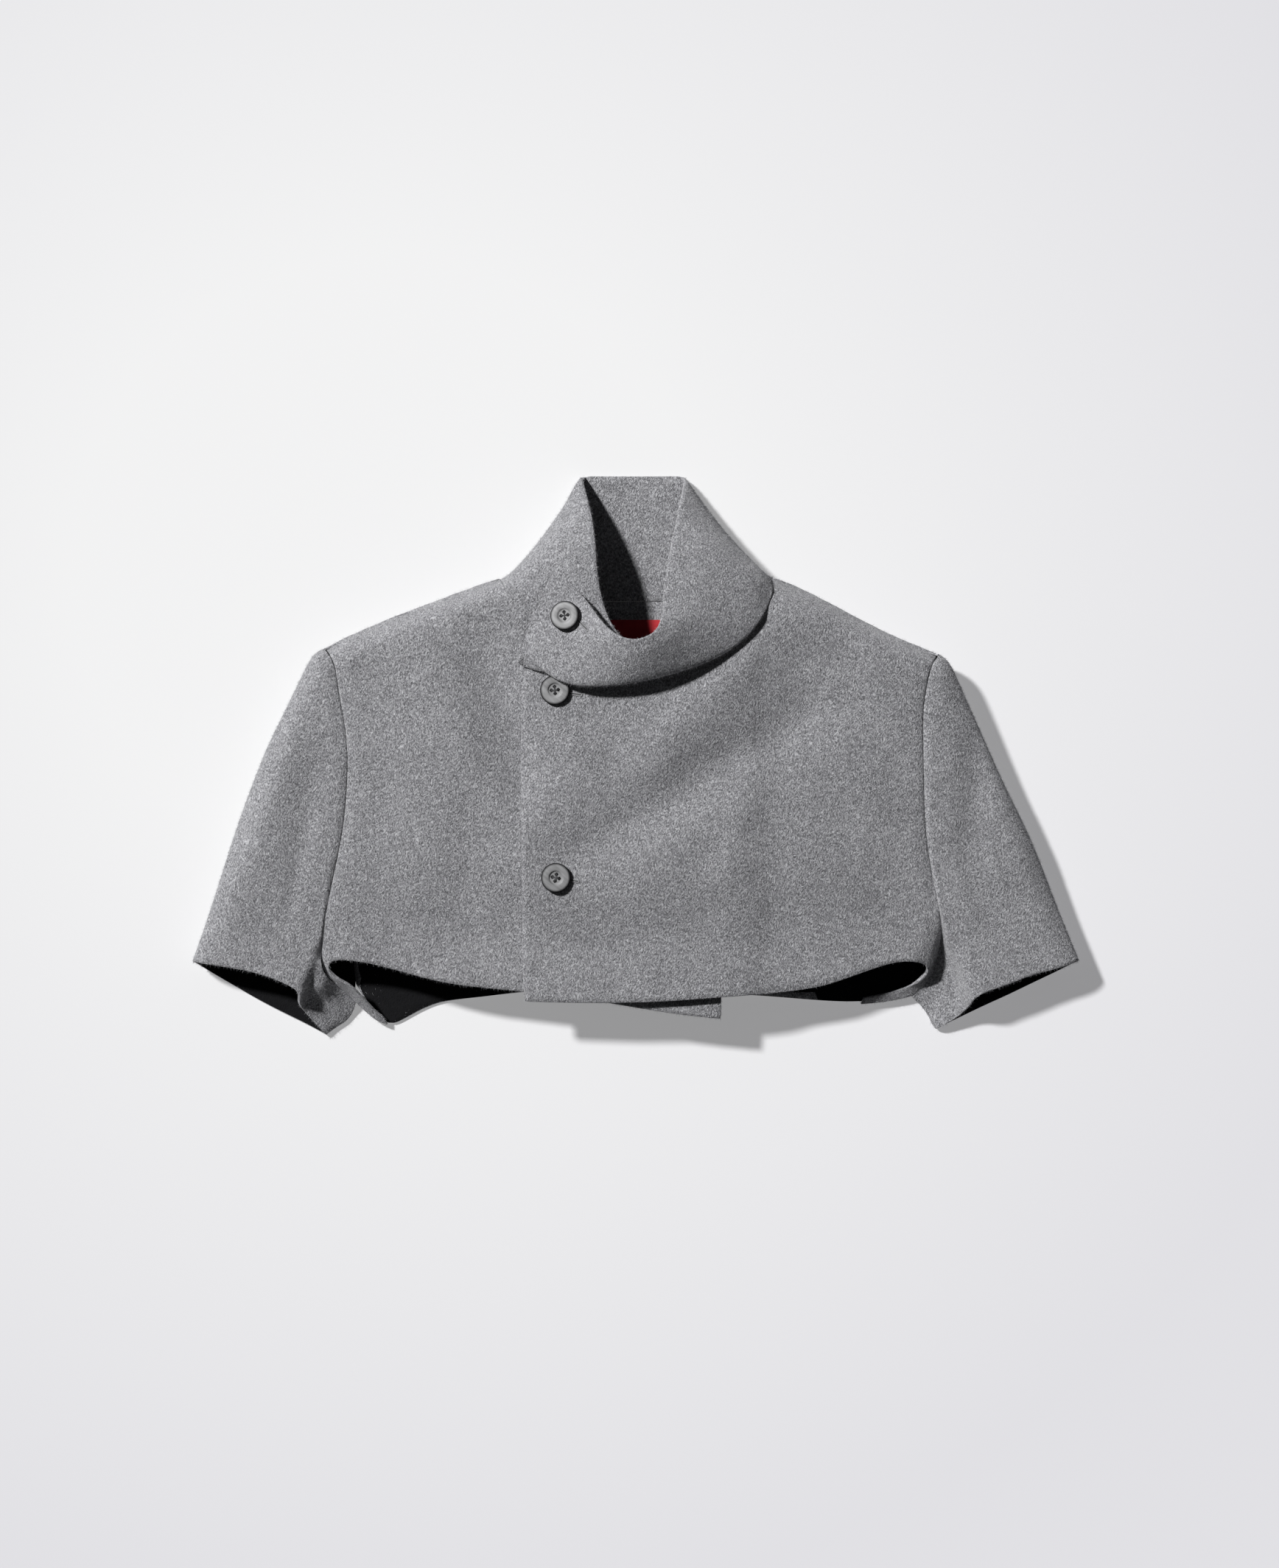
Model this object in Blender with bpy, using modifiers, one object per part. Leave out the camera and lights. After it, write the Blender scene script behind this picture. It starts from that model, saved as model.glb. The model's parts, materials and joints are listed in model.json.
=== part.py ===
"""Short funnel-necked wool coat, lying on its back with its front buttoned over.

Frame: metres, +X to the wearer's left, +Y towards the collar, +Z up from the floor, which is z = 0.
The coat is seen from straight above, so an outline table holds plan positions as columns and rows
of the view (PX_PER_MM of them to a millimetre, rows running down) and heights in millimetres.
Every cloth piece is an open surface, its outer skin, lofted from those outlines and given its
thickness by a Solidify modifier. Neighbours share their seam points and stop short of them.
"""
import math
from collections import namedtuple

import bmesh
import bpy
import numpy as np

MM = 0.001

# Driving sizes, millimetres
SHOULDER_WIDTH = 490.0      # left armhole seam to right armhole seam at the shoulder tips
CLOTH = 2.4                 # double-faced coating
COLLAR_CLOTH = 2.8          # the collar is two layers of it, pressed
SEAM_GAP = 0.2              # each piece stops this far short of its seam line
SLEEVE_GAP = 0.45           # a sleeve's own share of the gap along its armhole
RIDGE_GAP = 0.7             # the same where the two pieces fall away from their seam
LAP_AIR = 2.0               # air between the two overlapping fronts
LAP_HEM_RISE = 3.0          # how much more the upper front lifts off the lower one at the hem
ROUND_RADIUS = 22.0         # plan width of the turn from the top of the coat to its outline
FOLD_RADIUS = 10.0          # the same for the sleeve's inner fold
GROOVE = 2.0                # depth of the armhole seams
FOLD_DROP = 1.5             # how far a front has turned down at its fold under the arm
SHOULDER_Z = 26.0           # height of the shoulder seam, half way round the turn
BUTTON_DIAMETER = 23.5
BUTTON_HEIGHT = 3.6
BUTTON_AIR = 0.3
HOLE_RADIUS = 1.05
HOLE_CENTRE = 2.7           # from the button's centre
HOLE_TURN = math.radians(55)
LABEL_SIZE = (42.0, 15.0, 0.9)

# The view: the shoulder width spans 833 columns, and the origin is under this column and row
PX_PER_MM = 833.0 / SHOULDER_WIDTH
ORIGIN_COLUMN = 863.0
ORIGIN_ROW = 1025.8

# How finely the cloth is divided
ROUND_STEPS = 4             # across a turn
FRONT_ROWS = 11             # down an armhole, past the turn
SIDE_ROWS = 4               # down the side of a front, below the armhole
SHOULDER_COLUMNS = 8
NECK_TURN = (7.0, 15.0, 24.0)   # distances of the first neckline points from the shoulder seam, mm
BACK_NECK_COLUMNS = 6
SLEEVE_RINGS = 15
UNDERARM_SHARES = (0.0, 0.15, 0.32, 0.5, 0.68, 0.84, 0.95, 1.0)  # inner fold to shelf edge
SHELF_TURN = (1.2, 3.5)     # plan distances at which the shelf's edge turns down to the floor, mm
FLOOR_STEPS = 5
TURN_IN_STEPS = 3           # from the side seam's top to the sleeve's inner fold
HEM_CROWDING = 1.4          # the hem's points crowd towards the fold under the arm
BUTTON_SIDES = 24
WELD = 0.01                 # points of one piece closer than this are one point, mm

Mark = namedtuple("Mark", "col row")
Spot = namedtuple("Spot", "col row z")
Fold = namedtuple("Fold", "col_a row_a col_b row_b half_width rise")
Section = namedtuple("Section", "q low mid rim")
Side = namedtuple("Side", "name armhole under floor outer inner shelf cuff_top cuff_under cuff_floor "
                          "shoulder side_fold back_turn hem_rail rail_end neck hem opening "
                          "neck_columns")

WOOL = (0.235, 0.235, 0.245, 1.0)
HORN = (0.33, 0.33, 0.34, 1.0)
LABEL_RED = (0.62, 0.03, 0.05, 1.0)


# ---------------------------------------------------------------- outlines

# Height of the closed coat's upper surface, before the turns at its outline
BODY_TOP = [
    Spot(480, 920, 42), Spot(600, 880, 45), Spot(700, 850, 47), Spot(1010, 870, 47),
    Spot(1120, 850, 45), Spot(1230, 920, 42), Spot(790, 900, 49), Spot(864, 920, 50),
    Spot(940, 900, 49), Spot(480, 1050, 43), Spot(600, 1020, 48), Spot(740, 1000, 51),
    Spot(864, 980, 52), Spot(990, 1000, 51), Spot(1110, 1020, 48), Spot(1240, 1050, 43),
    Spot(470, 1180, 41), Spot(600, 1170, 46), Spot(740, 1160, 50), Spot(864, 1150, 51),
    Spot(990, 1160, 50), Spot(1120, 1170, 46), Spot(1250, 1180, 41), Spot(455, 1290, 30),
    Spot(540, 1305, 34), Spot(640, 1325, 36), Spot(760, 1335, 37), Spot(864, 1340, 37),
    Spot(990, 1335, 36), Spot(1100, 1320, 35), Spot(1190, 1300, 33), Spot(1255, 1285, 30),
    Spot(400, 950, 39), Spot(380, 1080, 39), Spot(340, 1200, 33), Spot(400, 1200, 41),
    Spot(330, 1290, 30), Spot(400, 1300, 36), Spot(1310, 950, 38), Spot(1345, 1080, 37),
    Spot(1400, 1200, 32), Spot(1320, 1200, 41), Spot(1400, 1290, 30), Spot(1325, 1300, 36),
]
BODY_TOP_REACH = 36.0       # how far one of those heights is felt, mm

SOFT_FOLDS = [
    Fold(650, 850, 705, 1060, 20, -3.5),
    Fold(590, 900, 600, 1120, 24, 2.0),
    Fold(1075, 835, 890, 1030, 20, 3.5),
    Fold(1110, 955, 770, 1165, 19, -3.5),
    Fold(1180, 930, 1090, 1200, 26, 2.0),
    Fold(1325, 1000, 1318, 1140, 12, -4.0),
    Fold(405, 1010, 345, 1190, 16, 2.5),
    Fold(425, 1060, 400, 1240, 11, -2.0),
]

LEFT = Side(
    name="left",
    armhole=[Mark(441, 880), Mark(450, 890), Mark(458, 910), Mark(461, 935), Mark(466, 960),
             Mark(471, 990), Mark(474, 1020), Mark(474, 1050), Mark(472, 1080), Mark(469, 1115),
             Mark(464, 1145), Mark(457, 1178), Mark(450, 1210), Mark(445, 1235)],
    under=[Spot(445, 1235, 36), Spot(440.5, 1265, 33), Spot(438, 1290, 29), Spot(437.5, 1306, 25),
           Spot(440, 1318, 22), Spot(450, 1330, 18.5), Spot(461, 1340, 14.5), Spot(472, 1350, 10.5),
           Spot(483, 1361, 7.5)],
    floor=[Spot(483, 1361, 7.5), Spot(482, 1335, 0), Spot(480, 1290, 0), Spot(477, 1240, 0),
           Spot(473, 1170, 0), Spot(471, 1100, 0), Spot(468, 1020, 0), Spot(462, 960, 0),
           Spot(455, 920, 0), Spot(447, 895, 0), Spot(441, 880, 26)],
    outer=[Spot(441, 880, 26), Spot(428, 884, 26), Spot(419, 900, 26), Spot(405, 930, 26),
           Spot(385, 970, 26), Spot(363, 1015, 25.5), Spot(345, 1060, 25), Spot(325, 1115, 24.5),
           Spot(313, 1150, 24), Spot(300, 1192, 23.5), Spot(287, 1232, 23), Spot(268, 1288, 22),
           Spot(262, 1304, 22)],
    inner=[Spot(438, 1290, 29), Spot(428, 1307, 30), Spot(418, 1330, 31), Spot(410, 1352, 31)],
    shelf=[Spot(483, 1361, 7.5), Spot(479, 1374, 4), Spot(470, 1386, 3.2), Spot(455, 1396, 3.2),
           Spot(443, 1405, 3.2)],
    cuff_top=[Mark(262, 1304), Mark(275, 1307), Mark(300, 1311), Mark(340, 1318), Mark(370, 1327),
              Mark(395, 1338), Mark(405, 1344), Mark(410, 1352)],
    cuff_under=[Spot(410, 1352, 31), Spot(407, 1359, 24), Spot(411, 1369, 16.5), Spot(421, 1381, 11.5),
                Spot(432, 1393, 9), Spot(440, 1401.5, 7), Spot(443, 1405, 3.2)],
    cuff_floor=[Spot(443, 1405, 3.2), Spot(425, 1394, 0), Spot(400, 1382, 0), Spot(360, 1362, 0),
                Spot(330, 1345, 0), Spot(300, 1328, 0), Spot(277, 1314, 0), Spot(262, 1304, 22)],
    shoulder=[Mark(441, 880), Mark(455, 873), Mark(500, 851), Mark(550, 832), Mark(600, 813),
              Mark(640, 798), Mark(678, 785)],
    side_fold=[Mark(445, 1235), Mark(448, 1260), Mark(451, 1283), Mark(454, 1304)],
    back_turn=[Spot(482, 1335, 0), Spot(493, 1354, 0), Spot(505, 1370, 0), Spot(518, 1384, 0),
               Spot(530, 1390, 0)],
    hem_rail=[Spot(454, 1304, 31), Spot(450, 1306.5, 30), Spot(447.5, 1311, 28.5),
              Spot(449, 1319, 27.5), Spot(456, 1327, 26.5), Spot(466, 1333, 25),
              Spot(478, 1340, 22.5), Spot(489, 1352, 19), Spot(500, 1363, 15.5),
              Spot(512, 1375, 11.5), Spot(521, 1381, 9.5)],
    rail_end=[Spot(483, 1361, 7.5), Spot(496, 1373, 7), Spot(511, 1386, 6.6), Spot(526, 1391.5, 6.4)],
    neck=[Mark(678, 785), Mark(684, 797), Mark(699, 819), Mark(718, 840), Mark(745, 864),
          Mark(790, 884), Mark(840, 892), Mark(880, 891), Mark(912, 886)],
    hem=[Mark(454, 1304), Mark(470, 1302), Mark(485, 1303), Mark(520, 1311), Mark(560, 1322),
         Mark(600, 1333), Mark(650, 1339), Mark(708, 1345), Mark(780, 1354), Mark(830, 1361),
         Mark(870, 1368), Mark(930, 1377), Mark(978, 1382)],
    opening=[Mark(912, 886), Mark(945, 960), Mark(968, 1060), Mark(976, 1180), Mark(979, 1290),
             Mark(978, 1382)],
    neck_columns=8,
)

RIGHT = Side(
    name="right",
    armhole=[Mark(1274, 888), Mark(1266, 898), Mark(1259, 918), Mark(1254, 942), Mark(1251, 970),
             Mark(1251, 1005), Mark(1252, 1050), Mark(1253, 1100), Mark(1256, 1140),
             Mark(1260, 1168), Mark(1264, 1190)],
    under=[Spot(1264, 1190, 39), Spot(1271, 1225, 35), Spot(1277, 1255, 30), Spot(1277.5, 1272, 24),
           Spot(1273, 1292, 18), Spot(1267, 1314, 13.5), Spot(1260, 1330, 10.8), Spot(1249, 1343, 8.5),
           Spot(1237, 1353, 7.5)],
    floor=[Spot(1237, 1353, 7.5), Spot(1239, 1328, 0), Spot(1242, 1290, 0), Spot(1246, 1240, 0),
           Spot(1250, 1170, 0), Spot(1252, 1100, 0), Spot(1252, 1020, 0), Spot(1255, 960, 0),
           Spot(1261, 925, 0), Spot(1268, 903, 0), Spot(1274, 888, 26)],
    outer=[Spot(1274, 888, 26), Spot(1284, 891.5, 26), Spot(1291, 904, 26), Spot(1300, 925, 26),
           Spot(1320, 970, 26), Spot(1340, 1015, 25.5), Spot(1360, 1060, 25), Spot(1380, 1100, 24.5),
           Spot(1400, 1142, 24), Spot(1420, 1193, 23.5), Spot(1440, 1245, 23), Spot(1456, 1284, 22),
           Spot(1464, 1303, 22)],
    inner=[Spot(1277, 1255, 30), Spot(1288, 1290, 31), Spot(1302, 1320, 31), Spot(1318, 1357, 31)],
    shelf=[Spot(1237, 1353, 7.5), Spot(1250, 1366, 4), Spot(1260, 1380, 3.2), Spot(1265, 1391, 3.2),
           Spot(1270, 1397, 3.2)],
    cuff_top=[Mark(1464, 1303), Mark(1440, 1312), Mark(1400, 1323), Mark(1360, 1338),
              Mark(1332, 1348), Mark(1318, 1357)],
    cuff_under=[Spot(1318, 1357, 31), Spot(1315, 1364, 23), Spot(1306, 1374, 15.5),
                Spot(1294, 1384, 11), Spot(1281, 1391, 8.5), Spot(1273, 1395.5, 6.8),
                Spot(1270, 1397, 3.2)],
    cuff_floor=[Spot(1270, 1397, 3.2), Spot(1305, 1380, 0), Spot(1340, 1363, 0), Spot(1370, 1350, 0),
                Spot(1400, 1335, 0), Spot(1440, 1316, 0), Spot(1464, 1303, 22)],
    shoulder=[Mark(1274, 888), Mark(1240, 875), Mark(1200, 858), Mark(1150, 832), Mark(1100, 805),
              Mark(1075, 793), Mark(1048, 783)],
    side_fold=[Mark(1264, 1190), Mark(1262, 1230), Mark(1259, 1272), Mark(1254, 1309)],
    back_turn=[Spot(1239, 1328, 0), Spot(1234, 1350, 0)],
    hem_rail=[Spot(1254, 1309, 29), Spot(1257, 1313, 27), Spot(1259, 1318, 24.5),
              Spot(1258, 1323, 21.5), Spot(1255, 1328, 18), Spot(1248, 1333, 15),
              Spot(1236, 1338, 13), Spot(1222, 1343, 11.5), Spot(1200, 1349, 10),
              Spot(1172, 1355, 9)],
    rail_end=[Spot(1237, 1353, 7.5), Spot(1215, 1358, 7), Spot(1195, 1361.5, 6.6),
              Spot(1168, 1363.5, 6.4)],
    neck=[Mark(1048, 783), Mark(1042, 796), Mark(1028, 817), Mark(1010, 838), Mark(985, 860),
          Mark(947, 882), Mark(900, 902), Mark(860, 912), Mark(820, 916), Mark(790, 916),
          Mark(765, 915), Mark(745, 912), Mark(728, 910), Mark(713, 908)],
    hem=[Mark(1254, 1309), Mark(1248, 1306), Mark(1238, 1303.5), Mark(1222, 1303), Mark(1205, 1307),
         Mark(1170, 1319), Mark(1120, 1337), Mark(1050, 1347), Mark(985, 1352), Mark(900, 1358),
         Mark(800, 1360), Mark(713, 1358)],
    opening=[Mark(713, 908), Mark(710, 935), Mark(708, 980), Mark(708, 1060), Mark(709, 1150),
             Mark(710, 1250), Mark(711, 1330), Mark(713, 1358)],
    neck_columns=11,
)

BACK_NECK = [Mark(678, 785), Mark(690, 797), Mark(715, 808), Mark(770, 815), Mark(864, 817),
             Mark(955, 815), Mark(1012, 807), Mark(1036, 796), Mark(1048, 783)]
BACK_HEM = [Mark(530, 1390), Mark(541, 1388), Mark(555, 1381), Mark(570, 1370), Mark(585, 1362.5),
            Mark(607, 1358.5), Mark(640, 1355), Mark(708, 1347), Mark(800, 1341), Mark(900, 1342),
            Mark(985, 1349), Mark(1050, 1353), Mark(1110, 1358), Mark(1170, 1360), Mark(1234, 1350)]

# The collar is one strip. It starts under the upper front, runs round the left of the neck
# (q = 1 at the shoulder seam), across the back to the right (q = 2) and along the upper front to
# the opening edge (q = 3), and ends in a tab. Its lower edge is the neckline itself.
COLLAR = [
    Section(0.000, Spot(910, 883, 50.5), Spot(903, 876, 53.5), Spot(895, 870, 55)),
    Section(0.117, Spot(879, 887, 51), Spot(875, 881, 54.5), Spot(872, 876, 56)),
    Section(0.262, Spot(841, 888, 51), Spot(846, 879, 55), Spot(850, 872, 57)),
    Section(0.445, Spot(796, 878, 50), Spot(813, 866, 54.5), Spot(833, 853, 56.5)),
    Section(0.623, Spot(757, 855, 48.5), Spot(785, 838, 52.5), Spot(822, 830, 54.5)),
    Section(0.753, Spot(734, 829, 47.5), Spot(768, 808, 51.5), Spot(815, 804, 53)),
    Section(0.855, Spot(717, 806, 46), Spot(757, 783, 50.5), Spot(811, 778, 52)),
    Section(0.920, Spot(706, 792, 43), Spot(749, 760, 47), Spot(809, 745, 49)),
    Section(0.952, Spot(701, 782, 40), Spot(741, 742, 43), Spot(806, 708, 40)),
    Section(0.985, Spot(698, 776, 33), Spot(733, 738, 32), Spot(796, 664, 25)),
    Section(1.000, Spot(696, 774, 25), Spot(728, 736, 20), Spot(787, 648, 13)),
    Section(1.015, Spot(697, 776, 16), Spot(731, 738, 9), Spot(790, 648, 5)),
    Section(1.060, Spot(703, 780, 3), Spot(742, 736, 0), Spot(797, 647, 0)),
    Section(1.200, Spot(745, 788, 0), Spot(780, 736, 0), Spot(815, 647, 0)),
    Section(1.500, Spot(864, 790, 0), Spot(862, 736, 0), Spot(860, 647, 0)),
    Section(1.800, Spot(985, 788, 0), Spot(945, 733, 0), Spot(904, 647, 0)),
    Section(1.940, Spot(1023, 778, 3), Spot(976, 727, 0), Spot(922, 647, 0)),
    Section(1.985, Spot(1029, 773, 16), Spot(984, 724, 9), Spot(929, 648, 5)),
    Section(2.000, Spot(1030, 772, 25), Spot(986, 722, 20), Spot(932, 648, 13)),
    Section(2.015, Spot(1033, 774, 33), Spot(986, 726, 31), Spot(930, 656, 24)),
    Section(2.037, Spot(1044, 786, 43), Spot(984, 735, 43), Spot(926, 673, 34)),
    Section(2.103, Spot(1046, 812, 52.5), Spot(980, 765, 58.5), Spot(917, 712, 50)),
    Section(2.175, Spot(1035, 841, 56), Spot(970, 796, 65), Spot(908, 752, 60)),
    Section(2.262, Spot(1006, 875, 58.5), Spot(953, 832, 71), Spot(901, 792, 68)),
    Section(2.376, Spot(962, 901, 62), Spot(930, 868, 77), Spot(899, 832, 76)),
    Section(2.509, Spot(906, 920, 65.5), Spot(897, 890, 81), Spot(890, 860, 83)),
    Section(2.616, Spot(862, 930, 67), Spot(862, 900, 81), Spot(862, 872, 85)),
    Section(2.720, Spot(820, 935, 67.5), Spot(827, 895, 78), Spot(833, 863, 80)),
    Section(2.800, Spot(788, 935, 66.5), Spot(803, 885, 72), Spot(813, 843, 72)),
    Section(2.864, Spot(764, 928, 65), Spot(785, 872, 67), Spot(801, 822, 65)),
    Section(2.916, Spot(745, 919, 62.5), Spot(769, 862, 63), Spot(791, 808, 61)),
    Section(2.961, Spot(730, 907, 60), Spot(755, 855, 60.5), Spot(778, 799, 58.5)),
    Section(3.000, Spot(719, 889, 58), Spot(741, 848, 58.5), Spot(765, 791.5, 57.5)),
    Section(3.060, Spot(707, 890, 56.5), Spot(722, 843, 56.5), Spot(752, 784, 56)),
]
TAB_FOOT = Spot(704, 902, 57)       # the lower corner of the tab, past the opening edge
TAB_STEPS = 2
PROFILE_KNOTS = (0.0, 0.22, 0.55, 1.0)  # where base, low, mid and rim lie across the strip
PROFILE_SHARES = (0.0, 0.11, 0.20, 0.27, 0.37, 0.52, 0.68, 0.84, 1.0)

TAB_BUTTON = Mark(768, 838)
FRONT_BUTTONS = [Mark(754, 938), Mark(755, 1191)]
LABEL_MARK = Mark(864.5, 854.5)


# ---------------------------------------------------------------- curves and heights

def to_mm(rows):
    """Table rows as an array of plan x, y in millimetres, with z after them where they have one."""
    table = np.array([tuple(row) for row in rows], float)
    table[:, 0] = (table[:, 0] - ORIGIN_COLUMN) / PX_PER_MM
    table[:, 1] = (ORIGIN_ROW - table[:, 1]) / PX_PER_MM
    return table


def hermite(points, knots, places):
    """A smooth curve through points at knots, read at places."""
    slopes = np.gradient(points, knots, axis=0)
    span = np.clip(np.searchsorted(knots, places, side="right") - 1, 0, len(knots) - 2)
    width = (knots[span + 1] - knots[span])[:, None]
    s = (places - knots[span])[:, None] / width
    return (points[span] * (1 + 2 * s) * (1 - s) ** 2 + slopes[span] * width * s * (1 - s) ** 2
            + points[span + 1] * s ** 2 * (3 - 2 * s) + slopes[span + 1] * width * s ** 2 * (s - 1))


def curve_length(points):
    """Length of a polyline in plan."""
    return float(np.sum(np.linalg.norm(np.diff(points[:, :2], axis=0), axis=1)))


def along(rows, shares):
    """Points at the given shares of the plan length of a smooth curve through the table's rows."""
    points = to_mm(rows)
    knots = np.concatenate(([0.0], np.cumsum(np.linalg.norm(np.diff(points[:, :2], axis=0), axis=1))))
    return hermite(points, knots, np.asarray(shares) * knots[-1])


def run(points):
    """Distance along a row of points in plan, from the first."""
    steps = np.linalg.norm(np.diff(points[:, :2], axis=0), axis=1)
    return np.concatenate(([0.0], np.cumsum(steps)))


def turn_shares(length, later_steps):
    """Shares along a line that starts on the outline: close together round the turn, even after it."""
    angles = np.linspace(0.0, math.pi / 2, ROUND_STEPS + 1)
    turn = ROUND_RADIUS * (1.0 - np.cos(angles)) / length
    return np.concatenate((turn, np.linspace(turn[-1], 1.0, later_steps + 1)[1:]))


def crown(distance, radius):
    """How far round its turn the cloth is at a plan distance from the outline: 0 there, 1 on top."""
    left = np.clip(1.0 - np.asarray(distance) / radius, 0.0, 1.0)
    return np.sqrt(1.0 - left ** 2)


def ease(value, start, end):
    """Smooth step from 0 at start to 1 at end."""
    share = np.clip((value - start) / (end - start), 0.0, 1.0)
    return share * share * (3.0 - 2.0 * share)


def body_height(plan):
    """Height of the coat's upper surface at plan points, folds included."""
    heights = to_mm(BODY_TOP)
    flat = plan.reshape(-1, 2)
    distance = np.linalg.norm(flat[:, None, :] - heights[None, :, :2], axis=2)
    weight = np.exp(-0.5 * (distance / BODY_TOP_REACH) ** 2) + 1e-9
    result = (weight * heights[:, 2]).sum(axis=1) / weight.sum(axis=1)
    for fold in SOFT_FOLDS:
        start, end = to_mm([Mark(fold.col_a, fold.row_a), Mark(fold.col_b, fold.row_b)])
        line = end - start
        share = np.clip((flat - start) @ line / (line @ line), 0.0, 1.0)
        away = np.linalg.norm(flat - (start + share[:, None] * line), axis=1)
        result += fold.rise * np.exp(-(away / fold.half_width) ** 2)
    return result.reshape(plan.shape[:-1])


def lap_rise(plan):
    """How far the upper front lies above the lower one: on it to the left, down beside it to the right."""
    edge = to_mm([Mark(990, 0), Mark(1060, 0), Mark(0, 1360)])
    over = 1.0 - ease(plan[..., 0], edge[0, 0], edge[1, 0])
    near_hem = np.exp(-np.abs(plan[..., 1] - edge[2, 1]) / 18.0)
    return over * (CLOTH + LAP_AIR + LAP_HEM_RISE * near_hem)


def coons(top, bottom, left, right):
    """A patch between four rows of points; rows run down, columns run across."""
    across = 0.5 * (run(top) / curve_length(top) + run(bottom) / curve_length(bottom))
    down = 0.5 * (run(left) / curve_length(left) + run(right) / curve_length(right))
    u = across[None, :, None]
    v = down[:, None, None]
    ruled_down = (1 - v) * top[None] + v * bottom[None]
    ruled_across = (1 - u) * left[:, None] + u * right[:, None]
    corners = ((1 - u) * (1 - v) * top[0] + u * (1 - v) * top[-1]
               + (1 - u) * v * bottom[0] + u * v * bottom[-1])
    return ruled_down + ruled_across - corners


def pull_in(grid, **gaps):
    """Move edges of a grid, named top, bottom, left or right, a gap's width towards its inside.

    A gap is one width, or one for each point of the edge.
    """
    inside = {"top": (grid[0], grid[1]), "bottom": (grid[-1], grid[-2]),
              "left": (grid[:, 0], grid[:, 1]), "right": (grid[:, -1], grid[:, -2])}
    for edge, gap in gaps.items():
        outer, inner = inside[edge]
        step = inner - outer
        width = np.broadcast_to(gap, (len(step),))[:, None]
        outer += width * step / np.maximum(np.linalg.norm(step, axis=1, keepdims=True), 1e-6)
    return grid


# ---------------------------------------------------------------- meshes

def material(name, color, roughness):
    """A plain Principled material."""
    result = bpy.data.materials.get(name) or bpy.data.materials.new(name)
    result.use_nodes = True
    shader = result.node_tree.nodes["Principled BSDF"]
    shader.inputs["Base Color"].default_value = color
    shader.inputs["Roughness"].default_value = roughness
    shader.inputs["Metallic"].default_value = 0.0
    return result


def add_object(name, mesh, surface):
    """Put a mesh in the coat's collection with its material."""
    result = bpy.data.objects.new(name, mesh)
    mesh.materials.append(surface)
    bpy.data.collections["short_coat"].objects.link(result)
    return result


def add_grid(build, grid, closed):
    """Loft a grid of points into a mesh; closed joins its last column to its first."""
    rows, columns = grid.shape[:2]
    verts = [[build.verts.new(point * MM) for point in row] for row in grid]
    for r in range(rows - 1):
        for c in range(columns if closed else columns - 1):
            after = (c + 1) % columns
            build.faces.new((verts[r][c], verts[r + 1][c], verts[r + 1][after], verts[r][after]))
    return verts


def cloth(name, grid, thickness=CLOTH, closed=False, up=True, facing=(0.5, 0.5), joined=()):
    """A cloth wall whose outer skin is the grid, with the joined grids welded on along shared points.

    facing is the share of the rows and columns where the skin is known to face up, or down.
    """
    mesh = bpy.data.meshes.new(name)
    build = bmesh.new()
    verts = add_grid(build, grid, closed)
    known = verts[int(facing[0] * (len(verts) - 1))][int(facing[1] * (len(verts[0]) - 1))]
    for more in joined:
        add_grid(build, more, False)
    bmesh.ops.remove_doubles(build, verts=build.verts[:], dist=WELD * MM)
    bmesh.ops.recalc_face_normals(build, faces=build.faces[:])
    build.normal_update()
    if (known.normal.z > 0) != up:
        bmesh.ops.reverse_faces(build, faces=build.faces[:])
    build.to_mesh(mesh)
    build.free()
    mesh.shade_smooth()
    result = add_object(name, mesh, material("grey_wool", WOOL, 0.95))
    wall = result.modifiers.new("wall", "SOLIDIFY")
    wall.thickness = thickness * MM
    wall.offset = -1.0
    wall.use_even_offset = False
    return result


# ---------------------------------------------------------------- sleeves

def draped(points, outer_z, inner_z):
    """Heights for a row of plan points from the sleeve's outline to its inner fold."""
    top = body_height(points[:, :2])
    from_outer = run(points)
    from_inner = from_outer[-1] - from_outer
    z = outer_z + (top - outer_z) * crown(from_outer, ROUND_RADIUS)
    return inner_z + (z - inner_z) * crown(from_inner, FOLD_RADIUS)


def armhole_top(side):
    """The armhole seam over the top of the coat: from the shoulder tip to the sleeve's inner fold."""
    length = curve_length(to_mm(side.armhole))
    front = along(side.armhole, turn_shares(length, FRONT_ROWS))
    fold_row = 2            # the row of the under table where the inner fold starts
    turn = along(side.under[:fold_row + 1], np.linspace(0, 1, TURN_IN_STEPS + 1))[1:, :2]
    plan = np.vstack((front, turn))
    z = draped(plan, side.outer[0].z, side.inner[0].z)
    z -= GROOVE * crown(run(plan), ROUND_RADIUS)
    z[-1] = side.inner[0].z
    return np.column_stack((plan, z))


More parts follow.
